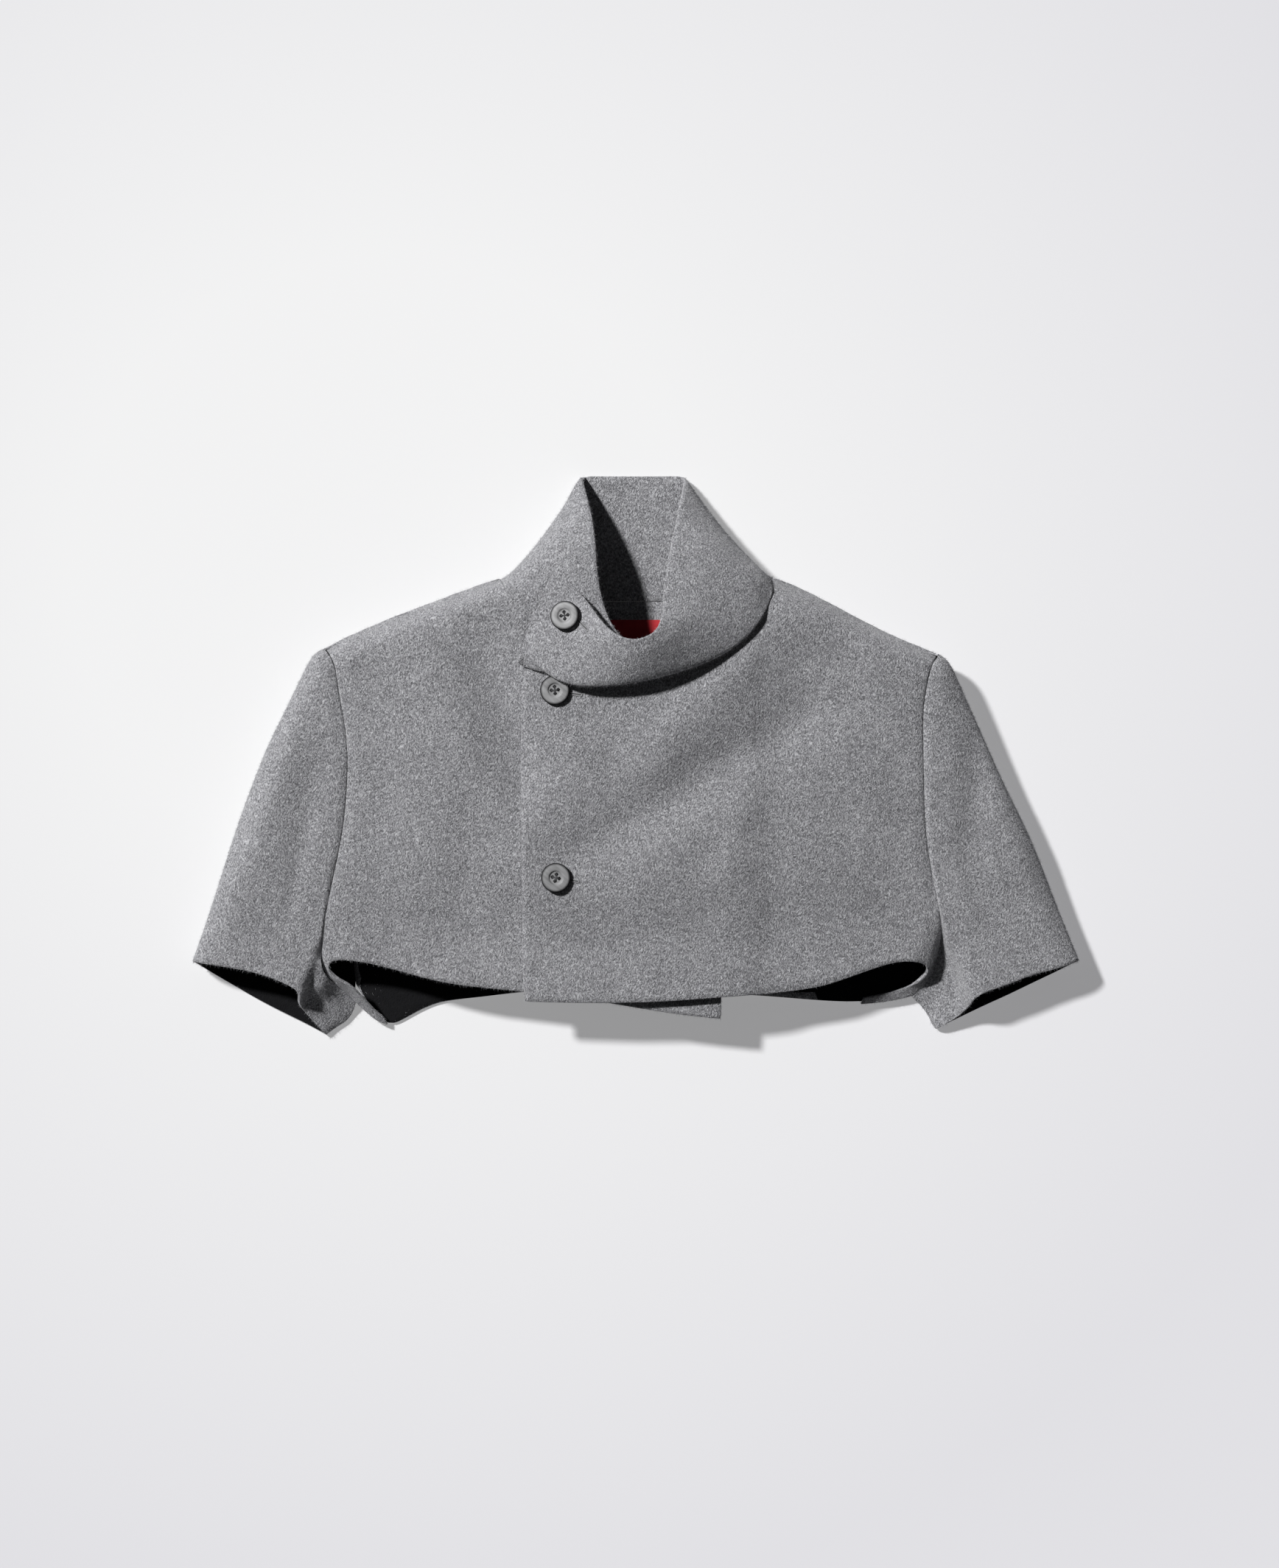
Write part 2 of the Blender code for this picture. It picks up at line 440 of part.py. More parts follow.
def sleeve_rings(side):
    """Rings round the sleeve from armhole to cuff; each runs top, underarm, floor."""
    shares = np.concatenate(([0.0, 0.04, 0.11], np.linspace(0.19, 0.96, SLEEVE_RINGS - 3), [1.0]))
    outer = along(side.outer, shares)
    inner = along(side.inner, shares)
    shelf = along(side.shelf, shares)

    armhole = armhole_top(side)
    cuff_plan = along(side.cuff_top, turn_shares(curve_length(to_mm(side.cuff_top)),
                                                 len(armhole) - ROUND_STEPS - 1))
    cuff = np.column_stack((cuff_plan, draped(cuff_plan, outer[-1, 2], inner[-1, 2])))
    top = coons(outer, inner, armhole, cuff).transpose(1, 0, 2)
    for ring in top[1:]:
        ring[:, 2] = draped(ring, ring[0, 2], ring[-1, 2])

    under = coons(inner, shelf, along(side.under[2:], UNDERARM_SHARES),
                  along(side.cuff_under, UNDERARM_SHARES)).transpose(1, 0, 2)

    def floor_row(rows):
        length = curve_length(to_mm(rows))
        shares = 1.0 - turn_shares(length, FLOOR_STEPS)[::-1]
        turn = np.array(SHELF_TURN) / length
        return along(rows, np.concatenate(([0.0], turn, shares[1:])))

    floor = coons(shelf, outer, floor_row(side.floor), floor_row(side.cuff_floor)).transpose(1, 0, 2)
    for ring in floor:
        from_shelf = run(ring)
        to_outer = from_shelf[-1] - from_shelf
        ring[1:-1, 2] = (ring[-1, 2] * (1 - crown(to_outer, ROUND_RADIUS))
                         + ring[0, 2] * (1 - crown(from_shelf, SHELF_TURN[-1])))[1:-1]
    return top, under, floor


def build_sleeve(side, strips):
    """One sleeve: a flattened tube with a shelf of cloth under the arm."""
    top, under, floor = strips
    rings = np.concatenate((top, under[:, 1:], floor[:, 1:-1]), axis=1).copy()
    step = rings[1] - rings[0]
    rings[0] += SLEEVE_GAP * step / np.linalg.norm(step, axis=1, keepdims=True)
    return cloth("sleeve_" + side.name, rings, closed=True, facing=(0.5, 0.25))


# ---------------------------------------------------------------- body

def shoulder_turn(plan, side):
    """How far round the shoulder's turn plan points are: 0 at its seam, 1 on top of the coat."""
    seam = along(side.shoulder, np.linspace(0, 1, 60))
    distance = np.linalg.norm(plan[..., None, :] - seam, axis=-1).min(axis=-1)
    return crown(distance, ROUND_RADIUS)


def neck_shares(length, later_steps):
    """Shares along a neckline from a shoulder seam: three short steps, then even ones."""
    turn = np.array((0.0,) + NECK_TURN) / length
    return np.concatenate((turn, np.linspace(turn[-1], 1.0, later_steps + 1)[1:]))


def neck_points(side, lift):
    """A front neckline from the shoulder seam to the opening edge."""
    plan = along(side.neck, neck_shares(curve_length(to_mm(side.neck)), side.neck_columns))
    top = body_height(plan)
    if lift:
        top += lap_rise(plan)
    z = SHOULDER_Z + (top - SHOULDER_Z) * shoulder_turn(plan, side)
    return np.column_stack((plan, z))


def shoulder_points(side):
    """The shoulder seam from the tip to the neck, on the outline."""
    plan = along(side.shoulder, np.concatenate(([0.0, 0.05], np.linspace(0.18, 1, SHOULDER_COLUMNS - 2))))
    return np.column_stack((plan, np.full(len(plan), SHOULDER_Z)))


def side_fold_points(side):
    """The line down a front, from the armhole to the hem, where it folds round under the arm."""
    plan = along(side.side_fold, np.linspace(0, 1, SIDE_ROWS + 1))
    z = body_height(plan) - FOLD_DROP
    z[0] = armhole_top(side)[ROUND_STEPS + FRONT_ROWS, 2]
    z[-1] = side.hem_rail[0].z
    return np.column_stack((plan, z))


def build_front(side, name, neck, lift):
    """A front: from its seams to its opening edge and hem, and round under the arm to the back."""
    armhole = armhole_top(side)[:ROUND_STEPS + FRONT_ROWS + 1]
    outer_edge = np.vstack((armhole, side_fold_points(side)[1:]))
    top_edge = np.vstack((shoulder_points(side), neck[1:]))
    opening = along(side.opening, run(outer_edge) / curve_length(outer_edge))
    hem = along(side.hem, run(top_edge) / curve_length(top_edge))
    plan = coons(*[edge[:, :2] for edge in (top_edge, hem, outer_edge, opening)])
    z = body_height(plan)
    if lift:
        z += lap_rise(plan)
    z = SHOULDER_Z + (z - SHOULDER_Z) * shoulder_turn(plan, side)
    z[:, 0] = outer_edge[:, 2]
    top_gap = np.where(np.arange(len(top_edge)) < SHOULDER_COLUMNS, RIDGE_GAP, SEAM_GAP)
    side_gap = np.where(np.arange(len(outer_edge)) < len(armhole), SEAM_GAP, 0.0)
    grid = pull_in(np.dstack((plan, z)), top=top_gap, left=side_gap)
    fold = pull_in(under_fold(side), top=SEAM_GAP)
    fold[:, 0] = grid[len(armhole) - 1:, 0]
    return cloth(name, grid, facing=(0.6, 0.5), joined=[fold])


def under_fold(side):
    """The part of a front that is folded round under the arm, from its fold line to the back."""
    arm = np.vstack((armhole_top(side)[ROUND_STEPS + FRONT_ROWS:],
                     along(side.under[2:], UNDERARM_SHARES)[1:],
                     along(side.rail_end, np.linspace(0, 1, SIDE_ROWS + 1))[1:]))
    hem = along(side.hem_rail, np.linspace(0, 1, len(arm)) ** HEM_CROWDING)
    end = np.linspace(arm[-1], hem[-1], SIDE_ROWS + 1)
    return coons(arm, hem, side_fold_points(side), end)


def back_edge(side, floor):
    """The side of the back: down the armhole on the floor, then along under the front's fold."""
    armhole = floor[0][::-1][:-1 - len(SHELF_TURN)]
    return np.vstack((armhole, along(side.back_turn, np.linspace(0, 1, SIDE_ROWS + 1))))


def back_height(plan):
    """Height of the back's under skin: the floor, but for its turns up to the shoulder seams."""
    return SHOULDER_Z * (1 - shoulder_turn(plan, LEFT) * shoulder_turn(plan, RIGHT))


def back_neck_points():
    """The back neckline, turned down from both shoulder seams to the floor."""
    half = neck_shares(curve_length(to_mm(BACK_NECK)) / 2, BACK_NECK_COLUMNS // 2) / 2
    plan = along(BACK_NECK, np.concatenate((half, 1 - half[-2::-1])))
    return np.column_stack((plan, back_height(plan)))


def build_back(left_floor, right_floor):
    """The back, flat on the floor and turned up to the shoulder seams."""
    left_edge = back_edge(LEFT, left_floor)
    right_edge = back_edge(RIGHT, right_floor)
    top_edge = np.vstack((shoulder_points(LEFT), back_neck_points()[1:-1],
                          shoulder_points(RIGHT)[::-1]))
    hem = along(BACK_HEM, run(top_edge) / curve_length(top_edge))
    hem = np.column_stack((hem, np.zeros(len(hem))))
    plan = coons(top_edge[:, :2], hem[:, :2], left_edge[:, :2], right_edge[:, :2])
    z = back_height(plan)
    z[:, 0] = left_edge[:, 2]
    z[:, -1] = right_edge[:, 2]
    grid = np.dstack((plan, z))
    gaps = {edge: np.where(points[:, 2] > 0, RIDGE_GAP, SEAM_GAP)
            for edge, points in (("top", top_edge), ("left", left_edge), ("right", right_edge))}
    return cloth("back", pull_in(grid, **gaps), up=False, facing=(0.6, 0.5))


# ---------------------------------------------------------------- collar

def collar_grid():
    """Sections across the collar strip, from its hidden end to the tab."""
    inner = neck_points(LEFT, False)
    outer = neck_points(RIGHT, True)
    back = back_neck_points()
    foot = to_mm([TAB_FOOT])[0]
    tab = np.linspace(outer[-1], foot, TAB_STEPS + 1)[1:]
    base = np.vstack((inner[::-1], back[1:-1], outer, tab))
    q = np.concatenate((1 - (run(inner) / curve_length(inner))[::-1],
                        1 + run(back)[1:-1] / curve_length(back),
                        2 + run(outer) / curve_length(outer),
                        3 + np.linspace(0, COLLAR[-1].q - 3, TAB_STEPS + 1)[1:]))
    knots = np.array([section.q for section in COLLAR])
    rails = [hermite(to_mm([getattr(section, part) for section in COLLAR]), knots, q)
             for part in ("low", "mid", "rim")]
    rails = [np.column_stack((rail[:, :2], np.maximum(rail[:, 2], 0.0))) for rail in rails]
    grid = np.array([hermite(np.array(points), np.array(PROFILE_KNOTS), np.array(PROFILE_SHARES))
                     for points in zip(base, *rails)])
    grid[:, :, 2] = np.maximum(grid[:, :, 2], 0.0)
    return q, grid


def build_collar(grid):
    """The collar strip, standing clear of the neckline by the seam gap."""
    return cloth("collar", pull_in(grid.copy(), left=2 * SEAM_GAP), COLLAR_CLOTH, facing=(0.9, 0.6))


# ---------------------------------------------------------------- trim

def button_mesh():
    """A turned button with a broad flat rim round a dished middle, before its holes."""
    radius = BUTTON_DIAMETER / 2
    profile = [(0.0, 0.66), (0.36, 0.66), (0.44, 0.74), (0.47, 0.92), (0.56, 1.0), (0.84, 0.98),
               (0.96, 0.82), (1.0, 0.5), (0.94, 0.12), (0.84, 0.0), (0.0, 0.0)]
    mesh = bpy.data.meshes.new("button")
    points = [(share * radius * MM, 0.0, height * BUTTON_HEIGHT * MM) for share, height in profile]
    mesh.from_pydata(points, [(k, k + 1) for k in range(len(points) - 1)], [])
    return mesh


def hole_cutter():
    """Four round cutters for a button's holes, as one helper object."""
    build = bmesh.new()
    for quarter in range(4):
        angle = HOLE_TURN + quarter * math.pi / 2
        made = bmesh.ops.create_cone(build, cap_ends=True, segments=8, radius1=HOLE_RADIUS * MM,
                                     radius2=HOLE_RADIUS * MM, depth=4 * BUTTON_HEIGHT * MM)
        out = HOLE_CENTRE * MM
        bmesh.ops.translate(build, verts=made["verts"],
                            vec=(out * math.cos(angle), out * math.sin(angle), 0.0))
    mesh = bpy.data.meshes.new("button_holes")
    build.to_mesh(mesh)
    build.free()
    result = bpy.data.objects.new("button_holes", mesh)
    result.hide_render = True
    result.display_type = "WIRE"
    bpy.data.collections["cutters"].objects.link(result)
    return result


def place_button(name, point, normal):
    """A button lying on the cloth at a point, facing along the normal."""
    button = add_object(name, button_mesh(), material("horn_button", HORN, 0.45))
    up = np.asarray(normal) / np.linalg.norm(normal)
    seat = (np.asarray(point) + BUTTON_AIR * up) * MM
    turn_y = math.atan2(up[0], up[2])
    turn_x = -math.asin(up[1])
    screw = button.modifiers.new("turned", "SCREW")
    screw.axis = "Z"
    screw.steps = BUTTON_SIDES
    screw.render_steps = BUTTON_SIDES
    screw.use_merge_vertices = True
    screw.merge_threshold = 1e-5
    holes = hole_cutter()
    for placed in (button, holes):
        placed.location = seat
        placed.rotation_euler = (turn_x, turn_y, 0.0)
    cut = button.modifiers.new("holes", "BOOLEAN")
    cut.operation = "DIFFERENCE"
    cut.object = holes
    return button


def front_spot(mark, reach=BUTTON_DIAMETER / 2):
    """A point on the upper front and the direction it faces, from the cloth round a button."""
    centre = to_mm([mark])[0]
    offsets = np.array([(0, 0), (reach, 0), (-reach, 0), (0, reach), (0, -reach)])
    plan = centre + offsets
    z = body_height(plan) + lap_rise(plan)
    normal = np.array([(z[2] - z[1]) / (2 * reach), (z[4] - z[3]) / (2 * reach), 1.0])
    return np.array([centre[0], centre[1], z.max()]), normal


def collar_spot(q, grid, mark):
    """A point on the collar's tab and the direction it faces: a plane over the points near it."""
    centre = to_mm([mark])[0]
    near = grid[q > 2.5].reshape(-1, 3)
    near = near[np.linalg.norm(near[:, :2] - centre, axis=1) < 1.3 * BUTTON_DIAMETER]
    sloped = np.column_stack((near[:, :2] - centre, np.ones(len(near))))
    slope_x, slope_y, height = np.linalg.lstsq(sloped, near[:, 2], rcond=None)[0]
    above = (near[:, 2] - sloped @ (slope_x, slope_y, height)).max()
    return np.array([centre[0], centre[1], height + above]), np.array([-slope_x, -slope_y, 1.0])


def build_label():
    """The plain label sewn flat inside the back neck."""
    x, y = to_mm([LABEL_MARK])[0]
    z = CLOTH + BUTTON_AIR + LABEL_SIZE[2] / 2
    build = bmesh.new()
    bmesh.ops.create_cube(build, size=1.0)
    bmesh.ops.scale(build, verts=build.verts, vec=[size * MM for size in LABEL_SIZE])
    mesh = bpy.data.meshes.new("label")
    build.to_mesh(mesh)
    build.free()
    label = add_object("label", mesh, material("red_label", LABEL_RED, 0.8))
    label.location = (x * MM, y * MM, z * MM)
    return label


def main():
    for old in list(bpy.data.objects):
        bpy.data.objects.remove(old)
    for name in ("short_coat", "cutters"):
        bpy.context.scene.collection.children.link(bpy.data.collections.new(name))

    strips = {side.name: sleeve_rings(side) for side in (LEFT, RIGHT)}
    for side in (LEFT, RIGHT):
        build_sleeve(side, strips[side.name])
    build_front(LEFT, "front_inner", neck_points(LEFT, False), False)
    build_front(RIGHT, "front_outer", neck_points(RIGHT, True), True)
    build_back(strips["left"][2], strips["right"][2])

    q, grid = collar_grid()
    build_collar(grid)
    place_button("button_tab", *collar_spot(q, grid, TAB_BUTTON))
    for number, mark in enumerate(FRONT_BUTTONS, start=1):
        place_button(f"button_front_{number}", *front_spot(mark))
    build_label()


main()
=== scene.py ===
"""Looks for a short funnel-necked wool coat, lying on its back and seen from straight above.

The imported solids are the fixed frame. Each cloth solid is stood for by a finer wall of the same
form, with soft creases and a brushed nap, and the buttons, their thread, the buttonholes and the
label are modelled on it. Frame: metres, +X to the wearer's left, +Y towards the collar, +Z up from
the floor.
"""
from __future__ import annotations

import enum
import json
import logging
import math
from collections.abc import Iterable, Mapping, Sequence
from dataclasses import dataclass, field
from typing import Any

import bmesh
import bpy
import numpy as np
from mathutils import Matrix, Vector, noise
from mathutils.bvhtree import BVHTree

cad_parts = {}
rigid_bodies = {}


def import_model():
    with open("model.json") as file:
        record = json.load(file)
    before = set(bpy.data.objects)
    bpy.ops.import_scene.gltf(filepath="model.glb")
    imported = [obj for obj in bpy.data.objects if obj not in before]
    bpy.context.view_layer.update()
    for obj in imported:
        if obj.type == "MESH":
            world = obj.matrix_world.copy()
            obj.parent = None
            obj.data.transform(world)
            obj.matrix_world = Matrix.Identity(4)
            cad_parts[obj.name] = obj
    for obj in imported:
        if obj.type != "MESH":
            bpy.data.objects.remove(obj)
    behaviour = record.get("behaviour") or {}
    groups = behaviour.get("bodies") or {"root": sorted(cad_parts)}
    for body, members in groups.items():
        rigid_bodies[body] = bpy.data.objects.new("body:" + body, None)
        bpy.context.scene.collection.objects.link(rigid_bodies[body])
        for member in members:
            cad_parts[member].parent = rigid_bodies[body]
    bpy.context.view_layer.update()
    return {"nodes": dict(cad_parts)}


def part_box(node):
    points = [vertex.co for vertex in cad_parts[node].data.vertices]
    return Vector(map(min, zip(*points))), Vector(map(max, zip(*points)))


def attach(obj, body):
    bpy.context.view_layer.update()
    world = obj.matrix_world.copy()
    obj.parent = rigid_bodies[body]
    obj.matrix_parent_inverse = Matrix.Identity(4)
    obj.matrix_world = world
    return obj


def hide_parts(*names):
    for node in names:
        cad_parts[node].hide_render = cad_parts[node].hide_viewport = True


LOG = logging.getLogger("short_coat")
MM = 0.001
ROOT = "root"

# The photograph: its size, and the pixel that is above the frame's origin
PHOTO_COLUMNS = 1736
PHOTO_ROWS = 2129
PIXELS_PER_MM = 1.7
ORIGIN_COLUMN = 863.0
ORIGIN_ROW = 1025.8

Colour = tuple[float, float, float, float]


def place(column: float, row: float) -> Vector:
    """The point on the floor that is under a pixel of the photograph.

    Args:
        column: Pixel column.
        row: Pixel row.

    Returns:
        The point, with z = 0.
    """
    return Vector((column - ORIGIN_COLUMN, ORIGIN_ROW - row, 0.0)) * (MM / PIXELS_PER_MM)


def smooth_step(value: np.ndarray, start: float, end: float) -> np.ndarray:
    """Ease from 0 at start to 1 at end.

    Args:
        value: Numbers to ease.
        start: Where the step starts.
        end: Where it ends.

    Returns:
        The eased numbers.
    """
    share = np.clip((value - start) / (end - start), 0.0, 1.0)
    return share * share * (3.0 - 2.0 * share)


# ---------------------------------------------------------------- node trees


class Wire:
    """An output socket that can be written in sums."""

    def __init__(self, board: Board, socket: bpy.types.NodeSocket) -> None:
        """Wrap a socket of a board's tree."""
        self.board = board
        self.socket = socket

    def __add__(self, other: Wire | float) -> Wire:
        """This plus other."""
        return self.board.math("ADD", self, other)

    def __sub__(self, other: Wire | float) -> Wire:
        """This minus other."""
        return self.board.math("SUBTRACT", self, other)

    def __rsub__(self, other: Wire | float) -> Wire:
        """Other minus this."""
        return self.board.math("SUBTRACT", other, self)

    def __mul__(self, other: Wire | float) -> Wire:
        """This times other."""
        return self.board.math("MULTIPLY", self, other)

    __radd__ = __add__
    __rmul__ = __mul__


class Board:
    """A node tree under construction."""

    def __init__(self, tree: bpy.types.NodeTree) -> None:
        """Empty the tree and build in it."""
        tree.nodes.clear()
        self.tree = tree

    def node(self, kind: str, settings: Mapping[str, Any] | None = None,
             sockets: Mapping[str | int, Any] | None = None) -> bpy.types.Node:
        """Add a node.

        Args:
            kind: The node's type.
            settings: Its properties, set first. "stops" fills a colour ramp with (place, colour).
            sockets: Values or wires for its inputs, by name or number.

        Returns:
            The node.
        """
        made = self.tree.nodes.new(kind)
        for name, value in (settings or {}).items():
            if name == "stops":
                ramp = made.color_ramp
                for number, (position, colour) in enumerate(value):
                    stop = ramp.elements[number] if number < 2 else ramp.elements.new(position)
                    stop.position = position
                    stop.color = colour
            else:
                setattr(made, name, value)
        for name, value in (sockets or {}).items():
            if isinstance(value, Wire):
                self.tree.links.new(value.socket, made.inputs[name])
            else:
                made.inputs[name].default_value = value
        return made

    def wire(self, kind: str, settings: Mapping[str, Any] | None = None,
             sockets: Mapping[str | int, Any] | None = None, out: str | int = 0) -> Wire:
        """Add a node and take one of its outputs.

        Args:
            kind: The node's type.
            settings: Its properties.
            sockets: Values or wires for its inputs.
            out: The output to take.

        Returns:
            The output.
        """
        return Wire(self, self.node(kind, settings, sockets).outputs[out])

    def math(self, operation: str, *values: Wire | float) -> Wire:
        """Add a Math node.

        Args:
            operation: Its operation.
            values: Its inputs.

        Returns:
            The result.
        """
        return self.wire("ShaderNodeMath", {"operation": operation}, dict(enumerate(values)))

    def vector(self, operation: str, *values: Wire | Sequence[float]) -> Wire:
        """Add a Vector Math node.

        Args:
            operation: Its operation.
            values: Its inputs.

        Returns:
            The result.
        """
        return self.wire("ShaderNodeVectorMath", {"operation": operation}, dict(enumerate(values)))

    def mix(self, factor: Wire | float, first: Wire | Colour, second: Wire | Colour) -> Wire:
        """Blend two colours.

        Args:
            factor: 0 gives the first, 1 the second.
            first: A colour.
            second: Another.

        Returns:
            The blend.
        """
        settings = {"data_type": "RGBA"}
        return self.wire("ShaderNodeMix", settings, {0: factor, 6: first, 7: second}, out=2)


def new_material(name: str) -> tuple[bpy.types.Material, Board]:
    """Make an empty node material.

    Args:
        name: The material's name.

    Returns:
        The material and the board of its tree.
    """
    material = bpy.data.materials.new(name)
    material.use_nodes = True
    return material, Board(material.node_tree)


def finish_surface(board: Board, sockets: Mapping[str | int, Any]) -> None:
    """Add the Principled shader and the output.

    Args:
        board: The material's board.
        sockets: The shader's inputs.
    """
    shader = board.wire("ShaderNodeBsdfPrincipled", None, sockets)
    board.node("ShaderNodeOutputMaterial", None, {"Surface": shader})


# ---------------------------------------------------------------- finishes


@dataclass(frozen=True)
class WoolFinish:
    """Brushed melange coating: pale and dark hairs lying mostly down the coat, no gloss."""

    dark: Colour = (0.120, 0.120, 0.127, 1.0)
    middle: Colour = (0.286, 0.285, 0.299, 1.0)
    pale: Colour = (0.535, 0.535, 0.555, 1.0)
    # painted shade: near-black colour laid on the inner skins, standing in for the shade inside the
    # coat's hollows; no lining piece is built
    lining: Colour = (0.006, 0.006, 0.007, 1.0)
    hairs_per_metre: float = 1350.0
    hair_stretch: float = 0.36
    hair_turns: tuple[float, float] = (0.25, -0.75)
    waver: float = 0.0035
    waver_per_metre: float = 160.0
    clumps_per_metre: float = 210.0
    clouds_per_metre: float = 38.0
    hair_shares: tuple[float, float] = (1.7, 1.5)
    clump_share: float = 0.38
    cloud_share: float = 0.16
    dark_at: float = 0.14
    pale_at: float = 0.86
    clump_relief: float = 0.6
    relief: float = 0.0007
    sheen: float = 0.22

    def hairs(self, board: Board, coordinates: Wire, turn: float) -> Wire:
        """Noise drawn out along one lie of the hairs.

        Args:
            board: The material's board.
            coordinates: Where to read it.
            turn: The lie's angle from straight down the coat, in radians.

        Returns:
            A value about 0.5.
        """
        drawn = board.wire("ShaderNodeMapping", {"vector_type": "TEXTURE"}, {
            "Vector": coordinates, "Rotation": (0.0, 0.0, turn),
            "Scale": (1.0, 1.0 / self.hair_stretch, 1.0)})
        return board.wire("ShaderNodeTexNoise", None, {
            "Vector": drawn, "Scale": self.hairs_per_metre, "Detail": 2.0, "Roughness": 0.6})

    def material(self) -> bpy.types.Material:
        """The cloth's material. An attribute of the inner skins mixes in the near-black painted
        shade of the hollows.
        """
        material, board = new_material("grey_wool")
        here = board.wire("ShaderNodeTexCoord", out="Object")
        waver = board.wire("ShaderNodeTexNoise", None, {
            "Vector": here, "Scale": self.waver_per_metre, "Detail": 1.0}, out="Color")
        centred = board.vector("SUBTRACT", waver, (0.5, 0.5, 0.5))
        shift = board.vector("MULTIPLY", centred, (self.waver,) * 3)
        moved = board.vector("ADD", here, shift)
        first, second = (self.hairs(board, moved, turn) for turn in self.hair_turns)
        clumps = board.wire("ShaderNodeTexNoise", None, {
            "Vector": moved, "Scale": self.clumps_per_metre, "Detail": 3.0, "Roughness": 0.55})
        clouds = board.wire("ShaderNodeTexNoise", None, {
            "Vector": here, "Scale": self.clouds_per_metre, "Detail": 2.0})
        grain = (first - 0.5) * self.hair_shares[0] + (second - 0.5) * self.hair_shares[1]
        shade = (grain + (clumps - 0.5) * self.clump_share + (clouds - 0.5) * self.cloud_share
                 + 0.5)
        ramp = board.wire("ShaderNodeValToRGB", {"stops": (
            (self.dark_at, self.dark), (self.pale_at, self.pale), (0.5, self.middle))},
            {0: shade})
        # painted shade: the inner skins' attribute mixes the coating towards the near-black shade
        # of the hollows
        hollow_shaded = board.wire("ShaderNodeAttribute", {"attribute_name": "lining"}, out="Fac")
        height = grain + clumps * self.clump_relief
        bump = board.wire("ShaderNodeBump", None, {
            "Height": height, "Distance": self.relief, "Strength": 0.85})
        finish_surface(board, {
            "Base Color": board.mix(hollow_shaded, ramp, self.lining), "Normal": bump, "Roughness": 0.95,
            "Specular IOR Level": 0.12, "Sheen Weight": self.sheen, "Sheen Roughness": 0.45})
        return material


@dataclass(frozen=True)
class FibreFinish:
    """Single hairs of the nap, in one tone."""

    name: str
    colour: Colour

    def material(self) -> bpy.types.Material:
        """The hairs' material."""
        material, board = new_material(self.name)
        finish_surface(board, {"Base Color": self.colour, "Roughness": 0.9,
                               "Specular IOR Level": 0.15, "Sheen Weight": 0.2})
        return material


@dataclass(frozen=True)
class HornFinish:
    """Grey horn-like plastic, faintly streaked, with painted shade at its edge and in its holes."""

    dark: Colour = (0.19, 0.19, 0.193, 1.0)
    pale: Colour = (0.30, 0.30, 0.305, 1.0)
    # painted shade: near black for the crevice where the button sinks into the wool, and for the
    # holes
    edge: Colour = (0.012, 0.012, 0.013, 1.0)
    streaks_per_metre: float = 420.0
    streak_stretch: float = 7.0
    streak_turn: float = 0.9

    def material(self) -> bpy.types.Material:
        """The buttons' material. An attribute mixes in the painted shade of the rim's crevice and
        of the holes.
        """
        material, board = new_material("horn_button")
        here = board.wire("ShaderNodeTexCoord", out="Object")
        drawn = board.wire("ShaderNodeMapping", {"vector_type": "TEXTURE"}, {
            "Vector": here, "Rotation": (0.0, 0.0, self.streak_turn),
            "Scale": (1.0, self.streak_stretch, 1.0)})
        streaks = board.wire("ShaderNodeTexNoise", None, {
            "Vector": drawn, "Scale": self.streaks_per_metre, "Detail": 3.0})
        ramp = board.wire("ShaderNodeValToRGB", {"stops": ((0.3, self.dark), (0.7, self.pale))},
                          {0: streaks})
        # painted shade of the crevice round the button and of its holes
        edge = board.wire("ShaderNodeAttribute", {"attribute_name": "edge"}, out="Fac")
        bump = board.wire("ShaderNodeBump", None, {
            "Height": streaks, "Distance": 0.00008, "Strength": 0.5})
        finish_surface(board, {
            "Base Color": board.mix(edge, ramp, self.edge), "Normal": bump,
            "Roughness": streaks * 0.2 + edge * 0.5 + 0.36, "Specular IOR Level": 0.28})
        return material


@dataclass(frozen=True)
class RibbonFinish:
    """Plain woven ribbon, ribbed across its length."""

    colour: Colour = (0.58, 0.012, 0.022, 1.0)
    shaded: Colour = (0.40, 0.008, 0.014, 1.0)
    rib: float = 0.00045

    def material(self) -> bpy.types.Material:
        """The label's material."""
        material, board = new_material("red_ribbon")
        here = board.wire("ShaderNodeTexCoord", out="Object")
        ribs = board.wire("ShaderNodeTexWave", {"bands_direction": "X"}, {
            "Vector": here, "Scale": math.tau / 20.0 / self.rib, "Distortion": 0.6,
            "Detail": 1.0, "Detail Scale": 3.0}, out="Fac")
        bump = board.wire("ShaderNodeBump", None, {
            "Height": ribs, "Distance": 0.00012, "Strength": 0.6})
        finish_surface(board, {
            "Base Color": board.mix(ribs, self.shaded, self.colour), "Normal": bump,
            "Roughness": 0.7, "Sheen Weight": 0.3})
        return material


@dataclass(frozen=True)
class ThreadFinish:
    """Twisted sewing thread."""

    name: str
    colour: Colour

    def material(self) -> bpy.types.Material:
        """The thread's material."""
        material, board = new_material(self.name)
        here = board.wire("ShaderNodeTexCoord", out="Object")
        twist = board.wire("ShaderNodeTexNoise", None, {"Vector": here, "Scale": 2600.0})
        bump = board.wire("ShaderNodeBump", None, {
            "Height": twist, "Distance": 0.00006, "Strength": 0.7})
        finish_surface(board, {"Base Color": self.colour, "Roughness": 0.6, "Normal": bump,
                               "Sheen Weight": 0.15})
        return material


def material_of(finish: Any) -> Any:
    """A field that makes a finish's material when the coat's finishes are made."""
    return field(default_factory=finish.material)


